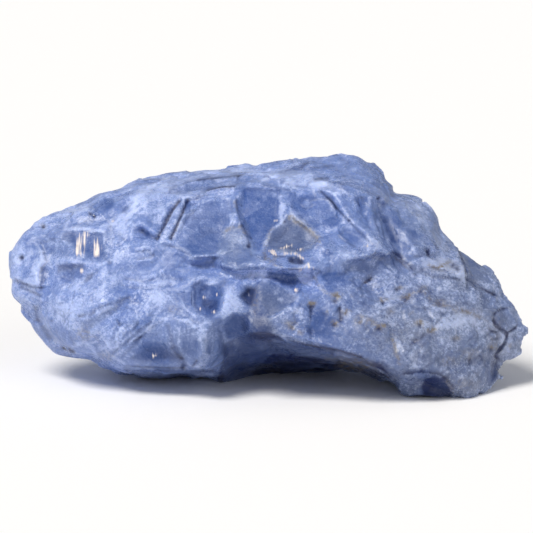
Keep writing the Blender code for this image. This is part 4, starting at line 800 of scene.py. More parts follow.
# %% Upper middle
tones(
    areas=[
        ("clear", 0.35, 1, [(-36, 56), (-33, 56.4), (-31.4, 52), (-32.6, 50), (-36, 52)]),
        ("crack_and_shade", 0.5, 0.4, [(-38.4, 50.2), (-37, 51), (-33.2, 48.2), (-33, 47.6), (-35.4, 48), (-37.8, 49.4)]),
        ("clear", 0.5, 0.4, [(-25, 59.3), (-23, 59.4), (-23.4, 56), (-24.8, 55.4)]),
        ("crack_and_shade", 0.5, 0.35, [(-22.8, 59.4), (-21, 60.8), (-18.6, 61.5), (-19.4, 60.4)]),
        ("clear", 0.6, 0.5, [(-29, 62.6), (-26, 64), (-22, 65.4), (-19.2, 65.8), (-19.6, 64.4), (-24, 62.4), (-27, 62)]),
        ("clear", 0.3, 0.7, [(-42, 65), (-38, 66.4), (-34, 67), (-36, 64.4), (-40, 63.4)]),
        ("clear", 0.3, 0.7, [(-24, 49), (-21, 52), (-18, 51.6), (-16.4, 48.6), (-14.4, 46.6), (-16, 44), (-20, 43.6), (-23.4, 46)]),
        ("clear", 0.35, 0.4, [(-17, 54), (-14.4, 56), (-12.6, 55.4), (-12.4, 52.4), (-15.6, 52.6)]),
        ("frost", 0.5, 0.4, [(-11.6, 55.8), (-9.4, 55.6), (-9.2, 52.6), (-11.4, 53)]),
        ("frost", 0.22, 0.8, [(-12.6, 50.4), (-8.6, 52.2), (-6, 46), (-4.8, 44), (-9, 46), (-13, 48)]),
        ("clear", 0.6, 0.8, [(-12.8, 43), (-9, 45.6), (-5, 43.6), (-6, 40.6), (-12, 40.4)]),
        ("grey", 0.35, 0.8, [(-12.8, 51), (-8.6, 52.2), (-2, 42), (-2, 39.4), (-13, 39.4), (-15.6, 44)]),
        ("frost", 0.9, 0.4, [(3.2, 57.8), (4, 58.8), (5.2, 58.4), (5.5, 57), (4.6, 56.2), (4.2, 54.8), (4.8, 53.8), (5.8, 52.6), (5.2, 51.8), (4, 51.9), (3.6, 53), (3.4, 55)]),
        ("clear", 0.5, 0.5, [(0.6, 49.4), (3.4, 51.4), (6, 51), (9, 50.4), (10.4, 48), (10.4, 45), (8.8, 44.4), (6.6, 46.4), (0, 46.4)]),
        ("grey", 0.7, 0.6, [(-0.6, 46), (0.4, 49.6), (4, 52.4), (6.6, 55.4), (11, 52.4), (15.4, 48.4), (13, 45), (9, 43.6), (2, 44)]),
        ("frost", 0.35, 0.6, [(10.8, 45), (10.8, 50.4), (13, 51), (14.8, 48.4), (13, 45.6)]),
        ("crack_and_shade", 0.6, 0.35, [(5.6, 42.7), (8.4, 42.9), (10.4, 41.6), (11, 40.4), (8, 40.3), (6, 41)]),
        ("frost", 0.9, 0.4, [(10.6, 38.9), (12, 40), (13, 39.4), (12.2, 38.3)]),
        ("frost", 0.8, 0.35, [(11, 59.6), (12.2, 60), (12.4, 58.6), (11.6, 57.4), (10.8, 58.6)]),
        ("clear", 0.5, 0.5, [(5.8, 61.6), (8, 61.8), (8.6, 57), (7.4, 56.6), (6.2, 58.4)]),
        ("clear", 0.5, 0.4, [(1.6, 61), (3.4, 59.6), (3, 55), (3.4, 52.6), (1.8, 51.6), (0.4, 53)]),
        ("clear", 0.3, 0.6, [(7, 61), (13.6, 61.6), (13.6, 59.8), (11, 57.4), (12.4, 54), (10, 53.8), (8, 55.4)]),
        ("clear", 0.4, 0.4, [(10.6, 53.7), (15, 53.6), (15.4, 50.4), (13.4, 51.4)]),
        ("clear", 0.3, 0.4, [(16.4, 53.8), (20.4, 55), (21.4, 53.4), (20.6, 51.4), (18, 50.2), (16.2, 50.8)]),
        ("clear", 0.3, 0.7, [(20.6, 49.2), (22.6, 51.2), (26, 50.6), (29, 47.6), (28.4, 46), (25.6, 45.4), (22.6, 47.4)]),
        ("clear", 0.5, 0.4, [(16, 44.6), (18, 44.6), (18.2, 42.6), (16, 42.6)]),
        ("frost", 0.45, 0.5, [(12.6, 64.6), (17, 65.3), (21, 63.4), (24, 62.2), (20, 60.6), (16.6, 62.4), (13, 63)]),
        ("clear", 0.3, 0.8, [(25.8, 60.4), (29.2, 60.2), (29, 56.4), (28, 55.2), (27, 55.6), (27, 58)]),
        ("clear", 0.3, 0.6, [(28, 54.6), (30, 54.4), (30.2, 52.4), (29, 51.8)]),
    ],
    lines=[
        ("crack_and_shade", 0.5, 0.3, [(-26.6, 59.3), (-28.4, 57), (-30, 54), (-31.4, 51), (-32.6, 48.2)]),
        ("crack_and_shade", 0.55, 0.4, [(-24, 59.6), (-25.5, 56), (-27.1, 52.4), (-28.9, 48.2)]),
        ("frost", 0.4, 0.4, [(-22.4, 56), (-24, 53), (-26.4, 49.4)]),
        ("frost", 0.6, 0.35, [(-26.8, 58.6), (-29, 54.6), (-31, 50.6)]), ("crack_and_shade", 0.5, 0.35, [(-18, 62.6), (-14, 63.5), (-10, 63.6)]),
        ("crack_and_shade", 0.45, 0.3, [(-21, 65.6), (-14, 66.2), (-8, 66.9)]), ("frost", 0.5, 0.4, [(-36, 63.6), (-30, 66.6)]),
        ("frost", 0.35, 0.8, [(-25.6, 52.6), (-20, 56.4)]), ("stain", 0.5, 0.5, [(-12.4, 50.3), (-10, 51.6), (-8, 51.6), (-6.8, 49.6)]),
        ("crack_and_shade", 0.6, 0.3, [(-9.5, 59.6), (-9, 56), (-8.2, 53), (-6.6, 50), (-5.6, 46.6)]), ("stain", 0.4, 0.35, [(-9.9, 59), (-9.5, 56)]),
        ("frost", 0.5, 0.4, [(4, 52.4), (1.4, 51.2), (0.2, 49), (-0.6, 46.4)]), ("stain", 0.4, 0.5, [(1.4, 51.2), (0.2, 49), (-0.9, 46), (-1, 43)]),
        ("frost", 0.2, 0.6, [(6.6, 55.6), (9, 54), (11, 52.6), (14, 50.4), (15.6, 48.6)]),
        ("stain", 0.55, 0.9, [(6.4, 54.6), (8.8, 53), (12, 51), (15, 48), (15, 46.4)]),
        ("frost", 0.6, 0.3, [(2.6, 43.2), (8, 43.5), (10, 42.2)]), ("crack_and_shade", 0.6, 0.3, [(2, 42.7), (5, 42.7)]), ("crack_and_shade", 0.5, 0.35, [(1, 43.5), (2.8, 43.2)]),
        ("crack_and_shade", 0.4, 0.35, [(3, 45.2), (5.6, 45.4), (7.4, 44.8)]), ("crack_and_shade", 0.35, 0.8, [(2, 47.6), (4.6, 49.6), (6.4, 52)]),
        ("stain", 0.5, 0.4, [(6.4, 39), (10, 39.3)]), ("frost", 0.5, 0.3, [(12.4, 58.9), (14, 59.5), (17.6, 59.8)]),
        ("frost", 0.6, 0.4, [(17.8, 59.6), (19.2, 57), (18.6, 56.4)]), ("crack_and_shade", 0.3, 0.25, [(14, 59.7), (14, 61.8), (15.6, 62.3)]),
        ("crack_and_shade", 0.6, 0.35, [(16, 62), (19, 59.2), (20.6, 57), (22, 55.4), (24, 53.4)]), ("crack_and_shade", 0.4, 0.3, [(24, 53.4), (28, 49), (31, 46.2)]),
        ("crack_and_shade", 0.5, 0.3, [(20.8, 49), (22.8, 47.2), (25.6, 45.6)]), ("crack_and_shade", 0.45, 0.35, [(14, 66), (18, 66.4)]),
        ("crack_and_shade", 0.4, 0.35, [(19, 65), (22, 63.2)]), ("crack_and_shade", 0.4, 0.4, [(10.2, 70), (12, 71.4)]),
        ("crack_and_shade", 0.4, 0.35, [(12, 69.2), (19.6, 70.4)]), ("crack_and_shade", 0.3, 0.35, [(4, 68.4), (9, 69.6)]),
        ("crack_and_shade", 0.4, 0.4, [(20, 66.5), (23, 66.8)]), ("crack_and_shade", 0.45, 0.35, [(-1.6, 64), (4, 63), (6.4, 62.4)]),
        ("frost", 0.6, 0.4, [(-1.4, 65.8), (0.4, 66.6)]), ("frost", 0.5, 0.3, [(3, 63.8), (3.2, 65.4)]),
        ("frost", 0.5, 0.4, [(4.4, 63.6), (6, 65.8)]), ("frost", 0.2, 0.5, [(30.4, 60), (30.6, 53)]),
        ("crack_and_shade", 0.35, 0.4, [(22.8, 58), (24.6, 55), (25, 54)]), ("frost", 0.35, 0.3, [(-1.6, 60.6), (-0.4, 61.4), (2, 62)]),
    ],
    spots=[
        ("frost", 0.5, -31.6, 57, 2.2, 1.4), ("frost", 0.5, -8, 48, 1.2, 1.6), ("crack_and_shade", 0.6, -5.6, 45.7, 0.5, 0.6),
        ("crack_and_shade", 0.3, -11.9, 51.1, 0.6, 0.6), ("frost", 0.9, -4.6, 53.6, 0.8, 0.9), ("crack_and_shade", 1.0, 4.9, 53, 0.35, 0.35),
        ("frost", 0.9, 2.1, 61.2, 0.5, 0.5), ("frost", 0.6, 3.4, 60.6, 0.6, 1.0), ("frost", 0.7, -1, 60.3, 0.7, 0.8),
        ("frost", 0.5, 7.6, 49.2, 0.8, 0.4), ("frost", 0.6, 6.8, 57, 0.5, 0.5), ("frost", 0.4, 6.6, 64.2, 2.4, 1.2),
        ("crack_and_shade", 0.5, 33.2, 60.4, 0.6, 0.6), ("stain", 0.5, 0.4, 42, 2.4, 0.8), ("clear", 0.4, 28.4, 44.6, 1.2, 0.9),
        ("frost", 0.4, 24, 43, 5, 1.5), ("frost", 0.4, 20, 61.4, 1, 0.6), ("frost", 0.25, -24, 45, 3, 0.8),
    ],
)

# %% Lower middle and the underside
tones(
    areas=[
        ("grey", 0.4, 0.6, [(-4.6, 34), (-1, 36.6), (2, 34.8), (5.4, 32.4), (8.6, 30.8), (7, 28.6), (0, 24.8), (-5, 24), (-5, 20.6), (3, 20.4)]),
        ("clear", 0.6, 0.5, [(-4.6, 34), (-1, 36.6), (2, 34.8), (5.4, 32.4), (8.6, 30.8), (7, 28.6), (3, 26.6), (0, 24.8), (-4.6, 24.6)]),
        ("clear", 0.5, 0.8, [(-5.4, 24), (-0.8, 23.6), (-0.6, 20.8), (-5, 20.6)]),
        # Painted shade over the smooth face and the band below it.
        ("crack_and_shade", 0.22, 1.5, [(-4, 33), (0, 33), (4, 30), (3, 27), (0, 24), (3, 22), (3, 18.6), (-6, 18.6)]),
        ("clear", 0.7, 0.4, [(-0.6, 38.2), (8, 37.6), (9, 35.8), (6, 34), (3.4, 34.2)]),
        ("crack_and_shade", 0.2, 0.4, [(1.6, 37.4), (8, 37), (8.4, 35.6), (6, 34.2), (3.4, 34.4)]),
        ("clear", 0.7, 0.3, [(6.4, 33.8), (9.2, 35.8), (10.2, 34.6), (9.4, 32.2), (8, 31.6)]),
        ("clear", 0.7, 1.6, [(15.2, 38.2), (23, 38.2), (24, 35.6), (22, 32.6), (18.6, 32.2), (16.4, 34)]),
        ("clear", 0.55, 1.2, [(12.8, 27.6), (16, 27), (20, 24), (20.4, 19), (12, 19.4), (10.8, 20.8), (12.8, 23)]),
        ("crack_and_shade", 0.2, 0.8, [(12.8, 27.6), (16, 27), (18, 24), (18, 20), (12, 20), (11, 21), (12.8, 23)]),
        ("clear", 0.4, 0.5, [(21.6, 30.2), (25.8, 30), (25.6, 27), (22.6, 26.8)]),
        ("frost", 0.35, 0.5, [(5, 26.8), (9, 28.2), (12.2, 27.6), (11.8, 23), (9.8, 20.6), (5, 23.4)]),
        ("frost", 0.3, 0.4, [(-0.6, 23.2), (4, 23.4), (6.4, 21), (10, 19.6), (14, 18.6), (13, 17.6), (5, 18.6), (0, 21)]),
        # Painted shade on the underside and along the bottom of the face; the stain among these is clay.
        ("crack_and_shade", 0.6, 0.5, [(-13, 17), (-5.4, 20.3), (0, 20.4), (3, 19.4), (5.4, 17.5), (13, 16.5), (20, 15.2), (27.6, 13.2), (33, 11), (37, 7), (30, 2), (-16, 2), (-13.6, 12)]),
        ("crack_and_shade", 0.35, 0.8, [(3, 13.8), (10, 13.4), (16, 12.4), (19.4, 11), (16, 7), (-6, 7), (0, 12)]),
        ("stain", 0.6, 1, [(19, 13.4), (27, 12.6), (33, 10.6), (37, 7), (28, 7), (20, 9)]),
        ("crack_and_shade", 0.35, 0.6, [(31, 12.2), (34, 12), (37, 9), (39.6, 6.4), (38, 3), (33, 5), (30, 8)]),
    ],
    lines=[
        ("frost", 0.6, 0.35, [(-4, 20.9), (3, 20), (5.6, 18.2), (13, 17), (20, 15.8), (27, 13.8)]),
        ("frost", 0.6, 0.35, [(5.7, 17.6), (5.8, 15.8)]), ("crack_and_shade", 0.6, 0.3, [(6, 18), (13, 16.5), (20, 15.3), (27.6, 13.3)]),
        ("frost", 0.6, 0.8, [(5.6, 23.2), (9.6, 20)]), ("stain", 0.4, 0.8, [(5.6, 23), (9.6, 20)]),
        ("frost", 0.25, 0.4, [(4.6, 23.6), (8.6, 27.4), (12, 28.4)]), ("frost", 0.4, 0.5, [(0, 24.1), (3.4, 25.3)]),
        ("stain", 0.4, 0.4, [(13.6, 36.6), (15, 34), (17, 32), (20, 31.4)]), ("crack_and_shade", 0.6, 0.3, [(12.6, 28), (12.4, 24.8)]),
        ("crack_and_shade", 0.55, 0.5, [(21, 27.4), (21.8, 24.4)]), ("crack_and_shade", 0.4, 0.5, [(20, 30), (20, 28.4)]),
        ("frost", 0.35, 0.4, [(14.6, 35), (18, 32), (20, 31)]), ("crack_and_shade", 0.4, 0.3, [(16, 26), (17.6, 25.4)]),
        ("frost", 0.6, 0.4, [(23, 15.4), (24.4, 15.6)]), ("stain", 0.4, 0.5, [(0, 41), (4, 39.4)]), ("frost", 0.5, 0.4, [(-2, 14.6), (1.6, 13.4), (3.4, 11.8)]),
        ("crack_and_shade", 0.4, 0.5, [(1.8, 12.6), (4.6, 9.6)]), ("frost", 0.35, 0.5, [(-6, 17.4), (-2, 16), (0, 17.4)]),
        ("frost", 0.4, 0.4, [(12, 13.6), (18, 12.6), (22, 12.4)]), ("frost", 0.4, 0.5, [(24, 11.6), (28, 9.8), (31, 8)]),
        ("stain", 0.7, 0.7, [(22, 10.6), (27, 9.4), (31, 10.4), (33, 7.4)]), ("stain", 0.6, 0.6, [(8, 12.4), (14, 11.6), (19, 12.2)]),
    ],
    spots=[
        ("frost", 1.0, 2, 32, 0.5, 0.7), ("frost", 0.9, 3.8, 30, 1.3, 0.5), ("stain", 0.4, -3.9, 30, 1.0, 4.5),
        ("frost", 0.8, 11.4, 35.6, 1.6, 1.4), ("clear", -0.4, 11, 36, 2, 1.6), ("crack_and_shade", 0.3, -2.2, 23, 3.4, 3.6), ("clear", 0.5, -2.4, 23, 3.6, 3.6), ("frost", 0.6, 16.4, 32, 0.7, 0.7), ("frost", 0.6, 14.6, 26.6, 0.6, 0.3),
        ("frost", 0.5, 14, 24.2, 0.5, 0.5), ("stain", 0.7, 12.8, 28.9, 1.2, 0.6), ("stain", 0.7, 20.6, 31.2, 1, 0.6),
        ("stain", 0.6, 22.6, 26, 0.8, 0.6), ("stain", 0.6, 17.5, 26.6, 0.6, 0.5), ("stain", 0.6, 19.8, 22.6, 1, 0.6),
        ("crack_and_shade", 0.4, 19.2, 22.6, 0.6, 0.6), ("stain", 0.4, 7.6, 22.4, 2, 1.6), ("frost", 0.5, 9.8, 26, 0.7, 1.2),
        ("crack_and_shade", 0.5, 13.2, 28, 0.6, 0.3),
    ],
)

# %% Right side
tones(
    areas=[
        ("clear", 0.7, 0.5, [(34, 55.4), (35.6, 55), (37.6, 51.6), (39, 48), (38.6, 46.4), (36.6, 47), (35, 50.6), (33.8, 53.4)]),
        ("crack_and_shade", 0.3, 0.5, [(34, 55), (35.4, 54.6), (37.4, 51.4), (38.8, 48), (38.4, 46.6), (36.8, 47.2), (35.2, 50.6)]),
        ("clear", 0.6, 0.4, [(36.2, 54), (38.6, 55), (40.4, 53), (39.6, 51.2), (38.2, 51.2)]),
        ("clear", 0.5, 0.3, [(36, 56.8), (38.6, 56.6), (39.6, 55.2), (38.4, 54.9)]),
        ("clear", 0.6, 0.5, [(41, 50.6), (43, 51), (46.8, 49.4), (45, 48), (42.6, 47.2)]),
        ("crack_and_shade", 0.45, 0.5, [(30, 42.4), (31, 43.1), (32.6, 43.4), (35, 42.9), (37.6, 44.6), (39.6, 43.4), (40.4, 41.2), (44.4, 40.2), (44, 38.6), (41.6, 38.6), (37.6, 42), (34, 41.4)]),
        ("clear", 0.4, 0.6, [(25, 41.2), (30, 42), (29.6, 38.4), (27, 38)]),
        ("frost", 0.15, 0.6, [(45.6, 40.6), (48, 42), (53, 43), (56, 41.4), (58.4, 39.6), (58.2, 37), (54, 36.9), (49, 37.6)]),
        ("crack_and_shade", 0.2, 0.4, [(54.6, 40.6), (56.4, 41), (57.4, 38.8), (56, 37.8)]),
        ("clear", 0.35, 0.6, [(57.8, 43.4), (62, 42), (66, 38.4), (69, 35.6), (66, 34.8), (60, 36), (58.8, 39)]),
        ("crack_and_shade", 0.55, 0.35, [(28.4, 34.8), (29, 36), (30.8, 36.6), (29.4, 34.8)]),
        ("clear", 0.4, 0.4, [(34.4, 33.6), (37.6, 34.6), (37, 32.6), (35, 32.4)]),
        ("clear", 0.35, 0.8, [(26.6, 29), (29, 33), (31, 30), (30, 27)]),
        # Painted shade with deeper colour low down by the floor.
        ("crack_and_shade", 0.7, 0.5, [(45.4, 4.4), (46.4, 6.6), (49, 7.4), (52, 6.8), (54.2, 3.8), (54.8, 2), (52, -1), (46, 1)]),
        ("clear", 0.6, 0.5, [(45.4, 4.4), (46.4, 6.8), (49, 7.6), (52, 7), (54.4, 3.8), (54.8, 2), (52, -1), (42, 1)]),
        ("clear", 0.4, 0.5, [(67.4, 25), (69, 27), (72, 27.2), (74.6, 25), (74, 22), (71.4, 20), (69, 21.4), (67.2, 23.2)]),
        ("crack_and_shade", 0.35, 0.4, [(66.4, 12), (67.8, 12.2), (69, 10), (68.6, 5), (66.4, 5)]),
        ("clear", 0.3, 0.6, [(59.6, 18.6), (62, 19.4), (61.6, 16), (60, 14.6)]),
    ],
    lines=[
        ("frost", 0.45, 0.5, [(36.6, 52.6), (39, 50.4), (41, 47.8), (43.2, 45.6), (44, 43)]),
        ("frost", 0.4, 0.4, [(30, 41), (33, 39.6), (37, 37.6)]), ("frost", 0.4, 0.4, [(34.6, 40.6), (37.8, 38.2)]),
        ("stain", 0.6, 0.4, [(47.6, 40.2), (50, 39.2), (52, 40), (54.4, 41.4)]), ("crack_and_shade", 0.4, 0.3, [(48, 39.6), (51, 38.6)]),
        ("frost", 0.5, 0.35, [(52.4, 38.6), (56, 41.6), (58.2, 39.6), (58.2, 37), (55, 36.8)]), ("frost", 0.6, 0.4, [(55, 39), (56.4, 37.7)]),
        ("crack_and_shade", 0.3, 0.35, [(46, 38.4), (48.6, 36.9), (54, 36.3), (57.4, 36)]), ("crack_and_shade", 0.5, 0.5, [(57.2, 43.6), (58.3, 41), (58.8, 38)]),
        ("crack_and_shade", 0.5, 0.3, [(60.6, 34.2), (64, 33), (68.6, 30.8)]), ("crack_and_shade", 0.5, 0.4, [(40.4, 29.2), (41.8, 31)]),
        ("stain", 0.4, 0.6, [(46.6, 32), (49, 28.6), (55, 27.6), (60, 26), (63, 24.4)]), ("stain", 0.6, 0.5, [(36.6, 19.4), (37.4, 15), (38.8, 11.4)]),
        ("frost", 0.5, 0.35, [(37.2, 19), (39.4, 14), (41.6, 11), (45, 9.3)]), ("crack_and_shade", 0.45, 0.5, [(42, 16.6), (46.4, 19.6)]),
        ("crack_and_shade", 0.3, 0.4, [(43, 27.4), (48, 27.2)]), ("stain", 0.6, 0.35, [(51.6, 7), (53.4, 5.2), (54.9, 2.6)]),
        ("crack_and_shade", 0.35, 0.4, [(45, 9.2), (49, 11.8)]), ("stain", 0.5, 0.5, [(40.8, 30), (42.4, 32), (45.4, 32.6)]),
        ("crack_and_shade", 0.9, 0.28, [(66.9, 23.6), (68.6, 22), (70.4, 20.8), (71.4, 19.6), (71.2, 17.6), (69.8, 15.4), (68.2, 13.6), (68, 12.9)]),
        ("crack_and_shade", 0.7, 0.25, [(71.2, 20), (73.6, 21), (74.6, 22.4)]), ("crack_and_shade", 0.6, 0.28, [(68, 12.9), (70.4, 11)]),
        ("crack_and_shade", 0.4, 0.25, [(65.2, 19.3), (68.4, 18), (69.4, 19.2), (68.4, 20.4), (66.4, 20.4), (65.2, 19.3)]),
        ("crack_and_shade", 0.5, 0.4, [(67.4, 25.4), (69, 27), (71.6, 27.2)]), ("frost", 0.35, 0.4, [(33.2, 58.4), (34.3, 56)]),
    ],
    spots=[
        ("crack_and_shade", 0.45, 47.9, 45, 0.5, 0.8), ("crack_and_shade", 0.4, 47.4, 43.6, 0.6, 0.5), ("crack_and_shade", 0.4, 49, 42.9, 0.4, 0.5),
        ("crack_and_shade", 0.35, 45.8, 43.6, 0.5, 0.7), ("crack_and_shade", 0.5, 55, 40.1, 0.4, 0.35), ("crack_and_shade", 0.5, 56, 39.2, 0.4, 0.5),
        ("stain", 0.7, 26.8, 23.4, 1.2, 0.7), ("stain", 0.6, 30, 23.5, 1.4, 0.9), ("crack_and_shade", 0.4, 28.6, 21.2, 0.5, 0.4),
        ("stain", 0.8, 32.4, 21.8, 1.2, 0.7), ("crack_and_shade", 0.5, 32.6, 21.4, 0.6, 0.5), ("stain", 0.6, 34.2, 22.4, 0.7, 0.5),
        ("stain", 0.6, 24.9, 30.8, 0.5, 0.5), ("stain", 0.5, 33.4, 30, 0.6, 0.8), ("stain", 0.5, 42.4, 26.2, 0.8, 0.7),
        ("stain", 0.6, 44.6, 23, 1, 0.9), ("crack_and_shade", 0.4, 45, 22.4, 0.6, 0.5), ("stain", 0.6, 48.4, 20.8, 1.2, 0.6),
        ("crack_and_shade", 0.5, 45.3, 32.2, 0.5, 0.4), ("crack_and_shade", 0.4, 48.2, 30.2, 0.4, 0.7), ("crack_and_shade", 0.4, 60.5, 28.4, 1.6, 0.5),
        ("crack_and_shade", 0.3, 62.6, 27.2, 1.4, 0.5), ("crack_and_shade", 0.3, 52, 30, 1, 0.4), ("frost", 0.6, 53, 8.6, 0.5, 0.3),
        ("crack_and_shade", 0.3, 47, 11.6, 1.2, 0.8), ("crack_and_shade", 0.3, 60.6, 11, 2, 0.5), ("crack_and_shade", 0.3, 63, 12.8, 2, 0.6),
        ("stain", 0.4, 60, 14.4, 3, 0.8), ("stain", 0.4, 72.4, 16, 1.6, 0.6), ("frost", 0.35, 35.6, 25, 2, 1.6),
        ("frost", 0.15, 58, 23.6, 5, 3), ("grey", 0.3, 57, 22, 7, 4), ("stain", 0.3, 53, 12, 3, 2), ("crack_and_shade", 0.35, 45, 17, 1.5, 1),
    ],
)

# %% Grey zones, painted shade low down and painted glints
note("grit", 0.2 + 0.2 * ramp(points[:, 2], 42, 30) + 0.8 * ramp(points[:, 0], -14, 18) * ramp(points[:, 2], 45, 35))
# Painted shade: darker towards the bottom, along the low ledge and near the floor, with less of it in a few spots.
note("crack_and_shade", 0.2 * ramp(points[:, 2], 19, 9) * facing)
dab("crack_and_shade", 45, 5, 3.5, 3, 0.35)
dab("crack_and_shade", -0.5, 20.5, 4, 3, 0.2)
dab("crack_and_shade", 57, 10, 8, 5, -0.17)
dab("crack_and_shade", 49, 17, 3, 3, -0.35)
dab("crack_and_shade", 71.3, 17.6, 2, 1.6, -0.3)
dab("crack_and_shade", 67, 23.7, 0.9, 0.7, 0.5)
dab("frost", 66.5, 24.5, 2.5, 2, -0.3)
dab("crack_and_shade", 18, 18, 9, 2.6, 0.14, -10)
dab("crack_and_shade", -1, 19, 7, 3, 0.14)
# Painted light in the shaded arch near the floor.
dab("crack_and_shade", 25, 9.8, 6, 2.2, -0.4, -8)
dab("frost", 25, 9.8, 6, 2.2, 0.3, -8)
dab("crack_and_shade", 20, 15.6, 12, 1.6, 0.2, -12)
# Greyer towards the bottom on the left and in the middle: a painted tint for the bluer light from above and the duller
# light from below.
painted_low_tint = 0.35 * ramp(points[:, 2], 44, 14)
note("grey", 0.65 * ramp(points[:, 0], 12, 52) + painted_low_tint * ramp(points[:, 0], -50, -10))
for x, w, wide, tall, amount in [
    (6, 49, 8, 6, 0.4), (-10, 46, 4, 8, 0.3), (-54, 46, 5, 4, 0.3), (-18, 49, 8, 7, 0.25), (1, 30, 7, 6, 0.3),
    (60, 38, 9, 5, 0.3), (32, 22, 14, 8, 0.3), (-4, 25, 8, 7, 0.3), (-22, 17, 7, 6, 0.3), (-36, 15, 7, 5, 0.3), (23, 41, 9, 4, 0.25),
    (-16, 65, 12, 4, -0.3), (-54, 46, 5, 4, -0.3),
]:
    dab("grey", x, w, wide, tall, amount)
# Painted highlights as strokes and spots: the striped facet, the clear crystal, the eye and a few more.
for line, amount in [
    ([(-56.6, 46.6), (-56.4, 43.8)], 0.35), ([(-51, 46), (-50.8, 43.6)], 0.35),
    ([(0.2, 44.4), (2.4, 43.2)], 0.8), ([(4, 45.2), (6.6, 46)], 0.75), ([(5.2, 43.6), (8.4, 43.6), (10.6, 42)], 0.65),
    ([(9.6, 38.6), (11.4, 40), (12.8, 39.2)], 0.65),
]:
    stroke("painted_glint", line, 0.45, amount)
for x, w in [
    (-46.5, 53.3), (-55.3, 38.5), (29.2, 45.8), (8, 32.8), (1.4, 44.2), (9.4, 44.8), (2.2, 53.4), (-33.6, 13.4), (11.8, 40.6),
]:
    dab("painted_glint", x, w, 0.45, 0.45, 1.0)
for x, w, amount in [(-15.2, 31.5, 1.0), (-13.4, 29, 0.8), (-19.1, 30.6, 0.7), (-16, 26.4, 0.75), (-20, 27.3, 0.65)]:
    dab("painted_glint", x, w, 0.2, 0.3, amount)

# %% Fine parallel streaks, where a grain was torn along its cleavage
hatch("frost", [(-40, 16), (-36, 19), (-30, 24.5)], (-0.9, 1.3), 5, 0.35, 0.2)
hatch("crack_and_shade", [(-40.6, 16.8), (-36.4, 19.9), (-30.4, 25.4)], (-0.9, 1.3), 4, 0.3, 0.1)
hatch("frost", [(-41, 33.2), (-34, 33.6), (-26, 35.4)], (0.2, 1.1), 4, 0.4, 0.3)
hatch("frost", [(-47, 13), (-42, 16.4), (-38, 20)], (-1.1, 1.1), 5, 0.4, 0.3)
hatch("frost", [(-29, 17), (-28.6, 23)], (1.3, -0.2), 6, 0.35, 0.3)
hatch("frost", [(-18.4, 14.6), (-18, 21)], (0.9, 0.1), 4, 0.3, 0.25)
hatch("frost", [(38.4, 18.6), (41, 14), (44.6, 10)], (1.2, 0.5), 4, 0.4, 0.25)
hatch("frost", [(26, 41), (28, 46)], (1.2, 0.3), 5, 0.35, 0.2)
hatch("crack_and_shade", [(28, 36), (33, 38), (38, 39)], (0.5, -1.2), 4, 0.35, 0.2)
hatch("frost", [(-64, 22), (-58, 24.4), (-52, 26)], (0.6, 1.4), 5, 0.4, 0.25)
hatch("frost", [(-43.6, 50), (-40, 54), (-35, 57.6)], (-1.3, 1.1), 4, 0.4, 0.3)
hatch("crack_and_shade", [(22, 22), (26, 18), (27, 14.6)], (3.2, 0.3), 5, 0.45, 0.25)
hatch("crack_and_shade", [(43.6, 14), (48, 19)], (1.8, -0.8), 3, 0.6, 0.35)
hatch("frost", [(52, 8), (58, 12), (64, 18)], (0.6, -1.7), 4, 0.45, 0.3)
hatch("crack_and_shade", [(50, 12), (56, 14.6), (62, 20)], (0.5, -1.8), 4, 0.45, 0.25)
hatch("crack_and_shade", [(25, 34), (32, 31.4), (38, 33)], (0.8, -2.3), 4, 0.45, 0.25)
hatch("frost", [(24, 22), (31, 25.6), (36, 26)], (1.5, 2.1), 4, 0.45, 0.3)
hatch("frost", [(44, 24), (50, 22), (56, 23)], (1.2, 2.3), 4, 0.5, 0.3)
hatch("crack_and_shade", [(46, 34), (52, 31), (58, 31)], (1.5, -2.0), 3, 0.45, 0.25)
hatch("crack_and_shade", [(-30, 66), (-20, 67.4), (-8, 68)], (0.4, -1.2), 2, 0.4, 0.25)

# %% [markdown]
# ## Set the carved stone in place
# The points go back into the model's frame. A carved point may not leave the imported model's box,
# so the few that do are brought back to it. That also keeps the resting flats level.

# %% Write the shape and the notes
row = to_frame(points)
row = np.clip(row, low, high)
stone.data.vertices.foreach_set("co", row.ravel())
for name, values in notes.items():
    attribute = stone.data.attributes.new(name, "FLOAT", "POINT")
    attribute.data.foreach_set("value", np.clip(values, 0, 1).astype(np.float32))
    print(name, "covers", round(float(np.clip(values, 0, 1).mean()), 2))
stone.data.polygons.foreach_set("use_smooth", [True] * len(stone.data.polygons))
stone.data.update()

# %% [markdown]
# The carving needed an even grid, but a piece should stay under 200,000 triangles. The side that
# faces away carries none of the face's listed breaks, so the thinning is steered there by a
# vertex group.

# %% Thin the far side
TRIANGLES = 196000
far_side = stone.vertex_groups.new(name="far_side")
for share in (0.25, 0.5, 0.75, 1.0):
    level = np.flatnonzero((hidden > share - 0.25) & (hidden <= share))
    far_side.add(level.tolist(), share, "REPLACE")
thin = stone.modifiers.new("thin", "DECIMATE")
thin.ratio = TRIANGLES / (2 * len(stone.data.polygons))
thin.vertex_group = "far_side"
thin.vertex_group_factor = 1.0
applied(stone)
stone.vertex_groups.clear()
places = np.empty(len(stone.data.vertices) * 3)
stone.data.vertices.foreach_get("co", places)
stone.data.vertices.foreach_set("co", np.clip(places.reshape(-1, 3), low, high).ravel())
stone.data.update()
stone.data.calc_loop_triangles()
print("carved stone:", len(stone.data.loop_triangles), "triangles,", sorted(stone.data.attributes.keys()))

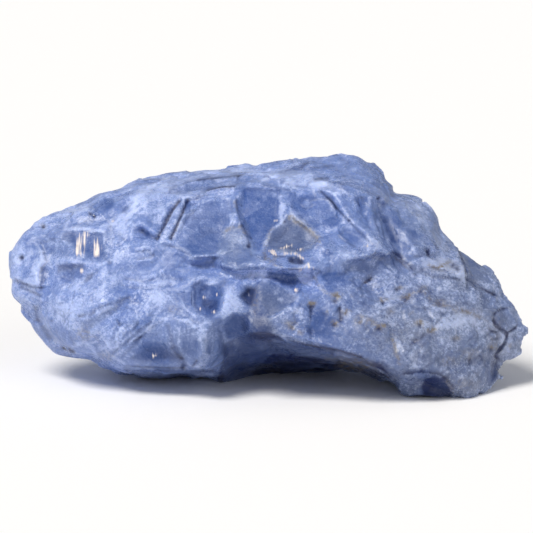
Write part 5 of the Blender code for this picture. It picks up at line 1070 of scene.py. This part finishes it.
# %% [markdown]
# ## The material: blue calcite, cleaved and slightly tumbled
# Calcite is a carbonate with an IOR of about 1.6. The crystal itself is nearly clear, and its
# blue comes from cloudy inclusions, so light sinks in a few millimetres and comes back bluer.
# Frosted grains scatter the light at the surface and look almost white. Clear panes let it in
# and look deep blue. A freshly cleaved face glints, a bruised one is dull. Glints are also painted
# into the colour as warm-white highlights, and cracks, hollows and low places get painted shade.

# %% Colours and a helper for nodes
def linear(code):
    """An sRGB hex colour as the linear numbers that a shader takes."""
    parts = [int(code[i : i + 2], 16) / 255 for i in (0, 2, 4)]
    return [c / 12.92 if c <= 0.04045 else ((c + 0.055) / 1.055) ** 2.4 for c in parts] + [1.0]


def add(tree, kind, at=(0, 0), links=None, **settings):
    """One node with its settings and its incoming links."""
    made = tree.nodes.new(kind)
    made.location = at
    for key, value in settings.items():
        if key[0].isupper():
            made.inputs[key].default_value = value
        else:
            setattr(made, key, value)
    for key, source in (links or {}).items():
        tree.links.new(source, made.inputs[key])
    return made


CLOUD = linear("7089C6")  # the cloudy blue body
DEEP = linear("3D5A9A")  # clear panes
SMOKE = linear("576790")  # clear panes where the stone is grey
FROST = linear("BFCFFA")  # bruised and frosted grains
SLATE = linear("6C7A9C")  # the greyer right end and belly
ASH = linear("B0BCDA")  # frost where the stone is grey
# PAINTED_GLINT is a painted highlight: warm white put into the colour where cleavage faces catch the light.
PAINTED_GLINT = linear("F2E6E0")  # cleavage faces that catch the light
CLAY = linear("85807E")  # old clay in the pits
# SHADE is dark navy for cracks and for painted shade in creases, hollows, under ledges and low down.
SHADE = linear("162352")  # cracks

# %% Build the calcite material
calcite = bpy.data.materials.new("blue_calcite_cleaved")
calcite.use_nodes = True
tree = calcite.node_tree
tree.nodes.clear()
place = add(tree, "ShaderNodeTexCoord", (-1600, 0)).outputs["Object"]
read = {
    name: add(tree, "ShaderNodeAttribute", (-1600, -200 - 160 * i), attribute_name=name).outputs["Fac"]
    for i, name in enumerate(notes)
}


def number(operation, a, b=0.0, c=0.0, clamp=False):
    """Arithmetic on sockets or numbers."""
    made = add(tree, "ShaderNodeMath", operation=operation, use_clamp=clamp)
    for socket, value in zip(made.inputs, (a, b, c)):
        if isinstance(value, (int, float)):
            socket.default_value = value
        else:
            tree.links.new(value, socket)
    return made.outputs[0]


def blend(share, first, second):
    """A mix of two colours."""
    made = add(tree, "ShaderNodeMix", data_type="RGBA", clamp_factor=True)
    tree.links.new(share, made.inputs["Factor"])
    for socket, value in ((made.inputs[6], first), (made.inputs[7], second)):
        if isinstance(value, list):
            socket.default_value = value
        else:
            tree.links.new(value, socket)
    return made.outputs[2]


def per_metre(size_mm):
    """The texture scale at which one cell of a pattern is this many millimetres."""
    return 1000 / size_mm


def mottle(size_mm, detail=4.0, roughness=0.6, **more):
    """Cloudy noise with lumps of this size, from 0 to 1."""
    return add(
        tree, "ShaderNodeTexNoise", links={"Vector": place}, Scale=per_metre(size_mm),
        Detail=detail, Roughness=roughness, **more,
    ).outputs["Fac"]


clouds = mottle(16.0, 5.0, 0.55)
wisps = mottle(5.0, 6.0, 0.62, Distortion=0.8)
specks = mottle(1.3, 4.0, 0.7)

# %% [markdown]
# Each grain of the crystal shows its cleavage as faint parallel streaks, and the streaks turn
# from grain to grain. A Voronoi cell stands for a grain. Its random colour is used as a
# direction, and noise squeezed along that direction draws the streaks.

# %% Streaks that turn from grain to grain
warp = add(tree, "ShaderNodeTexNoise", links={"Vector": place}, Scale=per_metre(9.0), Detail=2.0)
bend_by = add(tree, "ShaderNodeVectorMath", operation="MULTIPLY_ADD", links={0: warp.outputs["Color"], 2: place})
bend_by.inputs[1].default_value = (2 * MM,) * 3
grain = add(
    tree, "ShaderNodeTexVoronoi", links={"Vector": bend_by.outputs[0]}, feature="F1", Scale=per_metre(8.0)
)
way = add(tree, "ShaderNodeVectorMath", operation="SUBTRACT", links={0: grain.outputs["Color"]})
way.inputs[1].default_value = (0.5, 0.5, 0.5)
way = add(tree, "ShaderNodeVectorMath", operation="NORMALIZE", links={0: way.outputs[0]}).outputs[0]
fibre = add(tree, "ShaderNodeVectorMath", operation="DOT_PRODUCT", links={0: place, 1: way}).outputs["Value"]
squeezed = add(tree, "ShaderNodeVectorMath", operation="SCALE", links={0: way, "Scale": number("MULTIPLY", fibre, 7.0)})
drawn_out = add(
    tree, "ShaderNodeVectorMath", operation="ADD", links={0: bend_by.outputs[0], 1: squeezed.outputs[0]}
)
streaks = add(
    tree, "ShaderNodeTexNoise", links={"Vector": drawn_out.outputs[0]}, Scale=per_metre(5.0), Detail=3.0, Roughness=0.7
).outputs["Fac"]
grain_dice = add(tree, "ShaderNodeSeparateColor", links={"Color": grain.outputs["Color"]})


def facets(size_mm, slope):
    """Height of a patchwork of tilted flat facets of this size, in metres, and each facet's dice."""
    cell = add(
        tree, "ShaderNodeTexVoronoi", links={"Vector": bend_by.outputs[0]}, feature="F1", Scale=per_metre(size_mm)
    )
    offset = add(
        tree, "ShaderNodeVectorMath", operation="SUBTRACT",
        links={0: bend_by.outputs[0], 1: cell.outputs["Position"]},
    )
    tilt = add(tree, "ShaderNodeVectorMath", operation="SUBTRACT", links={0: cell.outputs["Color"]})
    tilt.inputs[1].default_value = (0.5, 0.5, 0.5)
    rise = add(
        tree, "ShaderNodeVectorMath", operation="DOT_PRODUCT", links={0: offset.outputs[0], 1: tilt.outputs[0]}
    ).outputs["Value"]
    return number("MULTIPLY", rise, 2 * slope), cell.outputs["Color"]


broad_height, broad_dice = facets(6.5, 0.2)
small_height, small_dice = facets(2.6, 0.18)
unbroken = number("MULTIPLY_ADD", read["clear"], -1.5, 1.0, clamp=True)
facet_height = number("MULTIPLY", number("ADD", broad_height, small_height), unbroken)

# %% [markdown]
# The haze is what makes the stone look cloudy rather than painted: broad clouds, finer wisps,
# the streaks, a slightly different whiteness in each grain and specks of crushed crystal.


# %% Haze, clear panes, stains
def mix_in(total, pattern, amount, middle=0.5):
    """Adds a pattern, centred on its middle, to a running total."""
    return number("ADD", total, number("MULTIPLY", number("SUBTRACT", pattern, middle), amount))


def hairlines(size_mm, steep, gaps_mm):
    """Thin winding lines where a cloudy noise crosses its middle, broken up by a second noise."""
    off = number("ABSOLUTE", number("SUBTRACT", mottle(size_mm, 4.0, 0.55, Distortion=0.6), 0.5))
    line = number("MULTIPLY_ADD", off, -steep, 1.0, clamp=True)
    return number("MULTIPLY", line, number("MULTIPLY", number("SUBTRACT", mottle(gaps_mm, 2.0), 0.48), 8.0, clamp=True))


clear_share = mix_in(number("MULTIPLY", read["clear"], 0.95), wisps, 1.0)
clear_share = mix_in(clear_share, grain_dice.outputs[1], 0.3)
windows = number("MULTIPLY", number("SUBTRACT", mottle(6.5, 3.0, 0.6), 0.53), 6.0, clamp=True)
clear_share = number("MULTIPLY_ADD", number("MULTIPLY", windows, read["grit"]), 0.5, clear_share)
clear_share = number("ADD", clear_share, number("MULTIPLY", number("SUBTRACT", streaks, 0.5), -0.2), clamp=True)
haze = number("MULTIPLY_ADD", read["frost"], 0.75, 0.2)
haze = mix_in(haze, clouds, 0.4)
haze = mix_in(haze, wisps, 0.42)
haze = mix_in(haze, number("MULTIPLY_ADD", number("SUBTRACT", streaks, 0.5), unbroken, 0.5), 0.6)
haze = mix_in(haze, number("MULTIPLY", number("SUBTRACT", specks, 0.5), 8.0, clamp=True), 0.2)
haze = mix_in(haze, number("MULTIPLY", number("SUBTRACT", mottle(0.55, 2.0, 0.6), 0.46), 9.0, clamp=True), 0.18)
haze = mix_in(haze, grain_dice.outputs[0], 0.15)
haze = mix_in(haze, add(tree, "ShaderNodeSeparateColor", links={"Color": small_dice}).outputs[1], 0.14)
haze = mix_in(haze, add(tree, "ShaderNodeSeparateColor", links={"Color": broad_dice}).outputs[1], 0.14)
coarse_grit = number("MULTIPLY", number("SUBTRACT", mottle(1.9, 3.0, 0.75), 0.5), read["grit"])
fine_grit = number("MULTIPLY", number("SUBTRACT", mottle(0.8, 2.0, 0.8), 0.5), read["grit"])
haze = number("MULTIPLY_ADD", coarse_grit, 1.2, number("MULTIPLY_ADD", fine_grit, 1.4, haze))
haze = number("MULTIPLY_ADD", hairlines(7.0, 40.0, 11.0), 0.3, haze)
haze = number("MULTIPLY", haze, number("MULTIPLY_ADD", clear_share, -0.6, 1.0))
crisp = number("MULTIPLY_ADD", number("SUBTRACT", haze, 0.4), 3.0, 0.4, clamp=True)
haze = number("MULTIPLY_ADD", crisp, 0.3, number("MULTIPLY", haze, 0.7), clamp=True)
grey_share = mix_in(read["grey"], clouds, 0.5)
body = blend(number("MULTIPLY", grey_share, 0.9, clamp=True), CLOUD, SLATE)
deep = blend(number("MULTIPLY", grey_share, 0.9, clamp=True), DEEP, SMOKE)
body = blend(clear_share, body, deep)
pale = blend(number("MULTIPLY", grey_share, 0.7, clamp=True), FROST, ASH)
body = blend(haze, body, pale)
crumbs = number("MULTIPLY", number("SUBTRACT", specks, 0.38), 5.0, clamp=True)
body = blend(number("MULTIPLY", number("MULTIPLY", read["stain"], 1.4), crumbs, clamp=True), body, CLAY)
holes = number("MULTIPLY", number("SUBTRACT", mottle(1.1, 3.0, 0.8), 0.58), 5.0, clamp=True)
# Cracks and painted shade darken the body toward SHADE; grit adds dark specks and hairlines of the grain.
crack_and_shade_share = number("MULTIPLY", read["crack_and_shade"], number("MULTIPLY_ADD", read["crack_and_shade"], 0.35, 0.57))
dark_share = number("MULTIPLY_ADD", number("MULTIPLY", holes, read["grit"]), 0.3, crack_and_shade_share)
hair_share = number("MULTIPLY", hairlines(9.5, 42.0, 13.0), number("MULTIPLY_ADD", read["grit"], 0.22, 0.16))
dark_share = number("ADD", dark_share, hair_share, clamp=True)
body = blend(dark_share, body, SHADE)
# Painted highlights: fine upright noise breaks the painted glint into thin bars, and the body is mixed toward
# PAINTED_GLINT there.
upright = add(tree, "ShaderNodeVectorMath", operation="MULTIPLY", links={0: place})
upright.inputs[1].default_value = (1, 0.1, 0.1)
sparkle = add(
    tree, "ShaderNodeTexNoise", links={"Vector": upright.outputs[0]}, Scale=per_metre(0.72), Detail=1.0
).outputs["Fac"]
sparkle = number("MULTIPLY", number("SUBTRACT", sparkle, 0.42), 6.0, clamp=True)
painted_glint_share = number("ADD", number("MULTIPLY", read["painted_glint"], 1.5), number("MULTIPLY_ADD", sparkle, 0.9, -0.9), clamp=True)
body = blend(painted_glint_share, body, PAINTED_GLINT)

facet_bump = add(tree, "ShaderNodeBump", links={"Height": facet_height}, Strength=0.8, Distance=1.0)
streak_bump = add(
    tree, "ShaderNodeBump", links={"Height": number("MULTIPLY", streaks, unbroken), "Normal": facet_bump.outputs["Normal"]},
    Strength=0.25, Distance=0.4 * MM,
)
fine_bump = add(
    tree, "ShaderNodeBump", links={"Height": mottle(0.6, 3.0, 0.6), "Normal": streak_bump.outputs["Normal"]},
    Strength=0.7, Distance=0.2 * MM,
)
dull = number("ADD", number("MULTIPLY_ADD", grain_dice.outputs[2], 0.2, 0.2), number("MULTIPLY", haze, 0.22))
shader = add(
    tree, "ShaderNodeBsdfPrincipled", (0, 0),
    links={"Base Color": body, "Roughness": dull, "Normal": fine_bump.outputs["Normal"]},
    Metallic=0.0, IOR=1.6,
)
tree.links.new(number("MULTIPLY_ADD", clear_share, -0.36, 0.5), shader.inputs["Specular IOR Level"])
shader.subsurface_method = "RANDOM_WALK"
shader.inputs["Subsurface Weight"].default_value = 0.3
shader.inputs["Subsurface Radius"].default_value = (0.5, 0.7, 1.0)
shader.inputs["Subsurface Scale"].default_value = 1.3 * MM
surface = add(tree, "ShaderNodeOutputMaterial", (300, 0), links={"Surface": shader.outputs["BSDF"]})
stone.data.materials.clear()
stone.data.materials.append(calcite)

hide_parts("blue_calcite")
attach(stone, "root")

# %% [markdown]
# ## Floor, light and camera
# The stone lies on a plain pale floor. A wide, far-off light shines from the upper left, where the
# photograph's light comes from, and a weak one fills the right. The camera looks level with the
# face's lean, from far enough away that the stone isn't stretched.

# %% Floor
floor_mesh = bpy.data.meshes.new("floor")
bm = bmesh.new()
bmesh.ops.create_grid(bm, x_segments=1, y_segments=1, size=6.0)
bm.to_mesh(floor_mesh)
bm.free()
floor = bpy.data.objects.new("floor", floor_mesh)
bpy.context.scene.collection.objects.link(floor)
paper = bpy.data.materials.new("pale_paper")
paper.use_nodes = True
paper.node_tree.nodes["Principled BSDF"].inputs["Base Color"].default_value = linear("FCFCFC")
paper.node_tree.nodes["Principled BSDF"].inputs["Roughness"].default_value = 0.9
floor.data.materials.append(paper)

# %% Lights
def soft_sun(name, azimuth, elevation, strength, width, tint):
    """Light from far away, so that the floor is evenly lit, and from a wide patch, so that shadows are soft."""
    data = bpy.data.lights.new(name, "SUN")
    data.energy = strength
    data.angle = math.radians(width)
    data.color = linear(tint)[:3]
    lamp = bpy.data.objects.new(name, data)
    a, e = math.radians(azimuth), math.radians(elevation)
    toward = Vector((math.sin(a) * math.cos(e), -math.cos(a) * math.cos(e), math.sin(e)))
    lamp.matrix_world = Matrix.Translation(toward) @ (-toward).to_track_quat("-Z", "Y").to_matrix().to_4x4()
    bpy.context.scene.collection.objects.link(lamp)
    return lamp


soft_sun("key_upper_left", -46, 57, 2.7, 24, "FFFBF5")
soft_sun("fill_right", 40, 28, 0.4, 40, "FFFFFF")
world = bpy.data.worlds.new("studio")
world.use_nodes = True
world.node_tree.nodes["Background"].inputs["Color"].default_value = linear("F6F8FF")
world.node_tree.nodes["Background"].inputs["Strength"].default_value = 0.31
bpy.context.scene.world = world
bpy.context.scene.view_settings.view_transform = "Standard"

# %% Camera
FRAME_WIDTH = 159.9 * MM  # what the picture spans at the stone
DISTANCE = 1.6
target = Vector(to_frame(np.array([[-0.45, 0.0, 39.75]]))[0])
look = Vector((0, COS, -SIN))
camera_data = bpy.data.cameras.new("camera")
camera_data.sensor_width = 36
camera_data.lens = 36 * DISTANCE / FRAME_WIDTH
camera_data.clip_start = 0.01
camera = bpy.data.objects.new("camera", camera_data)
camera.matrix_world = Matrix.Translation(target - look * DISTANCE) @ look.to_track_quat("-Z", "Y").to_matrix().to_4x4()
bpy.context.scene.collection.objects.link(camera)
bpy.context.scene.camera = camera
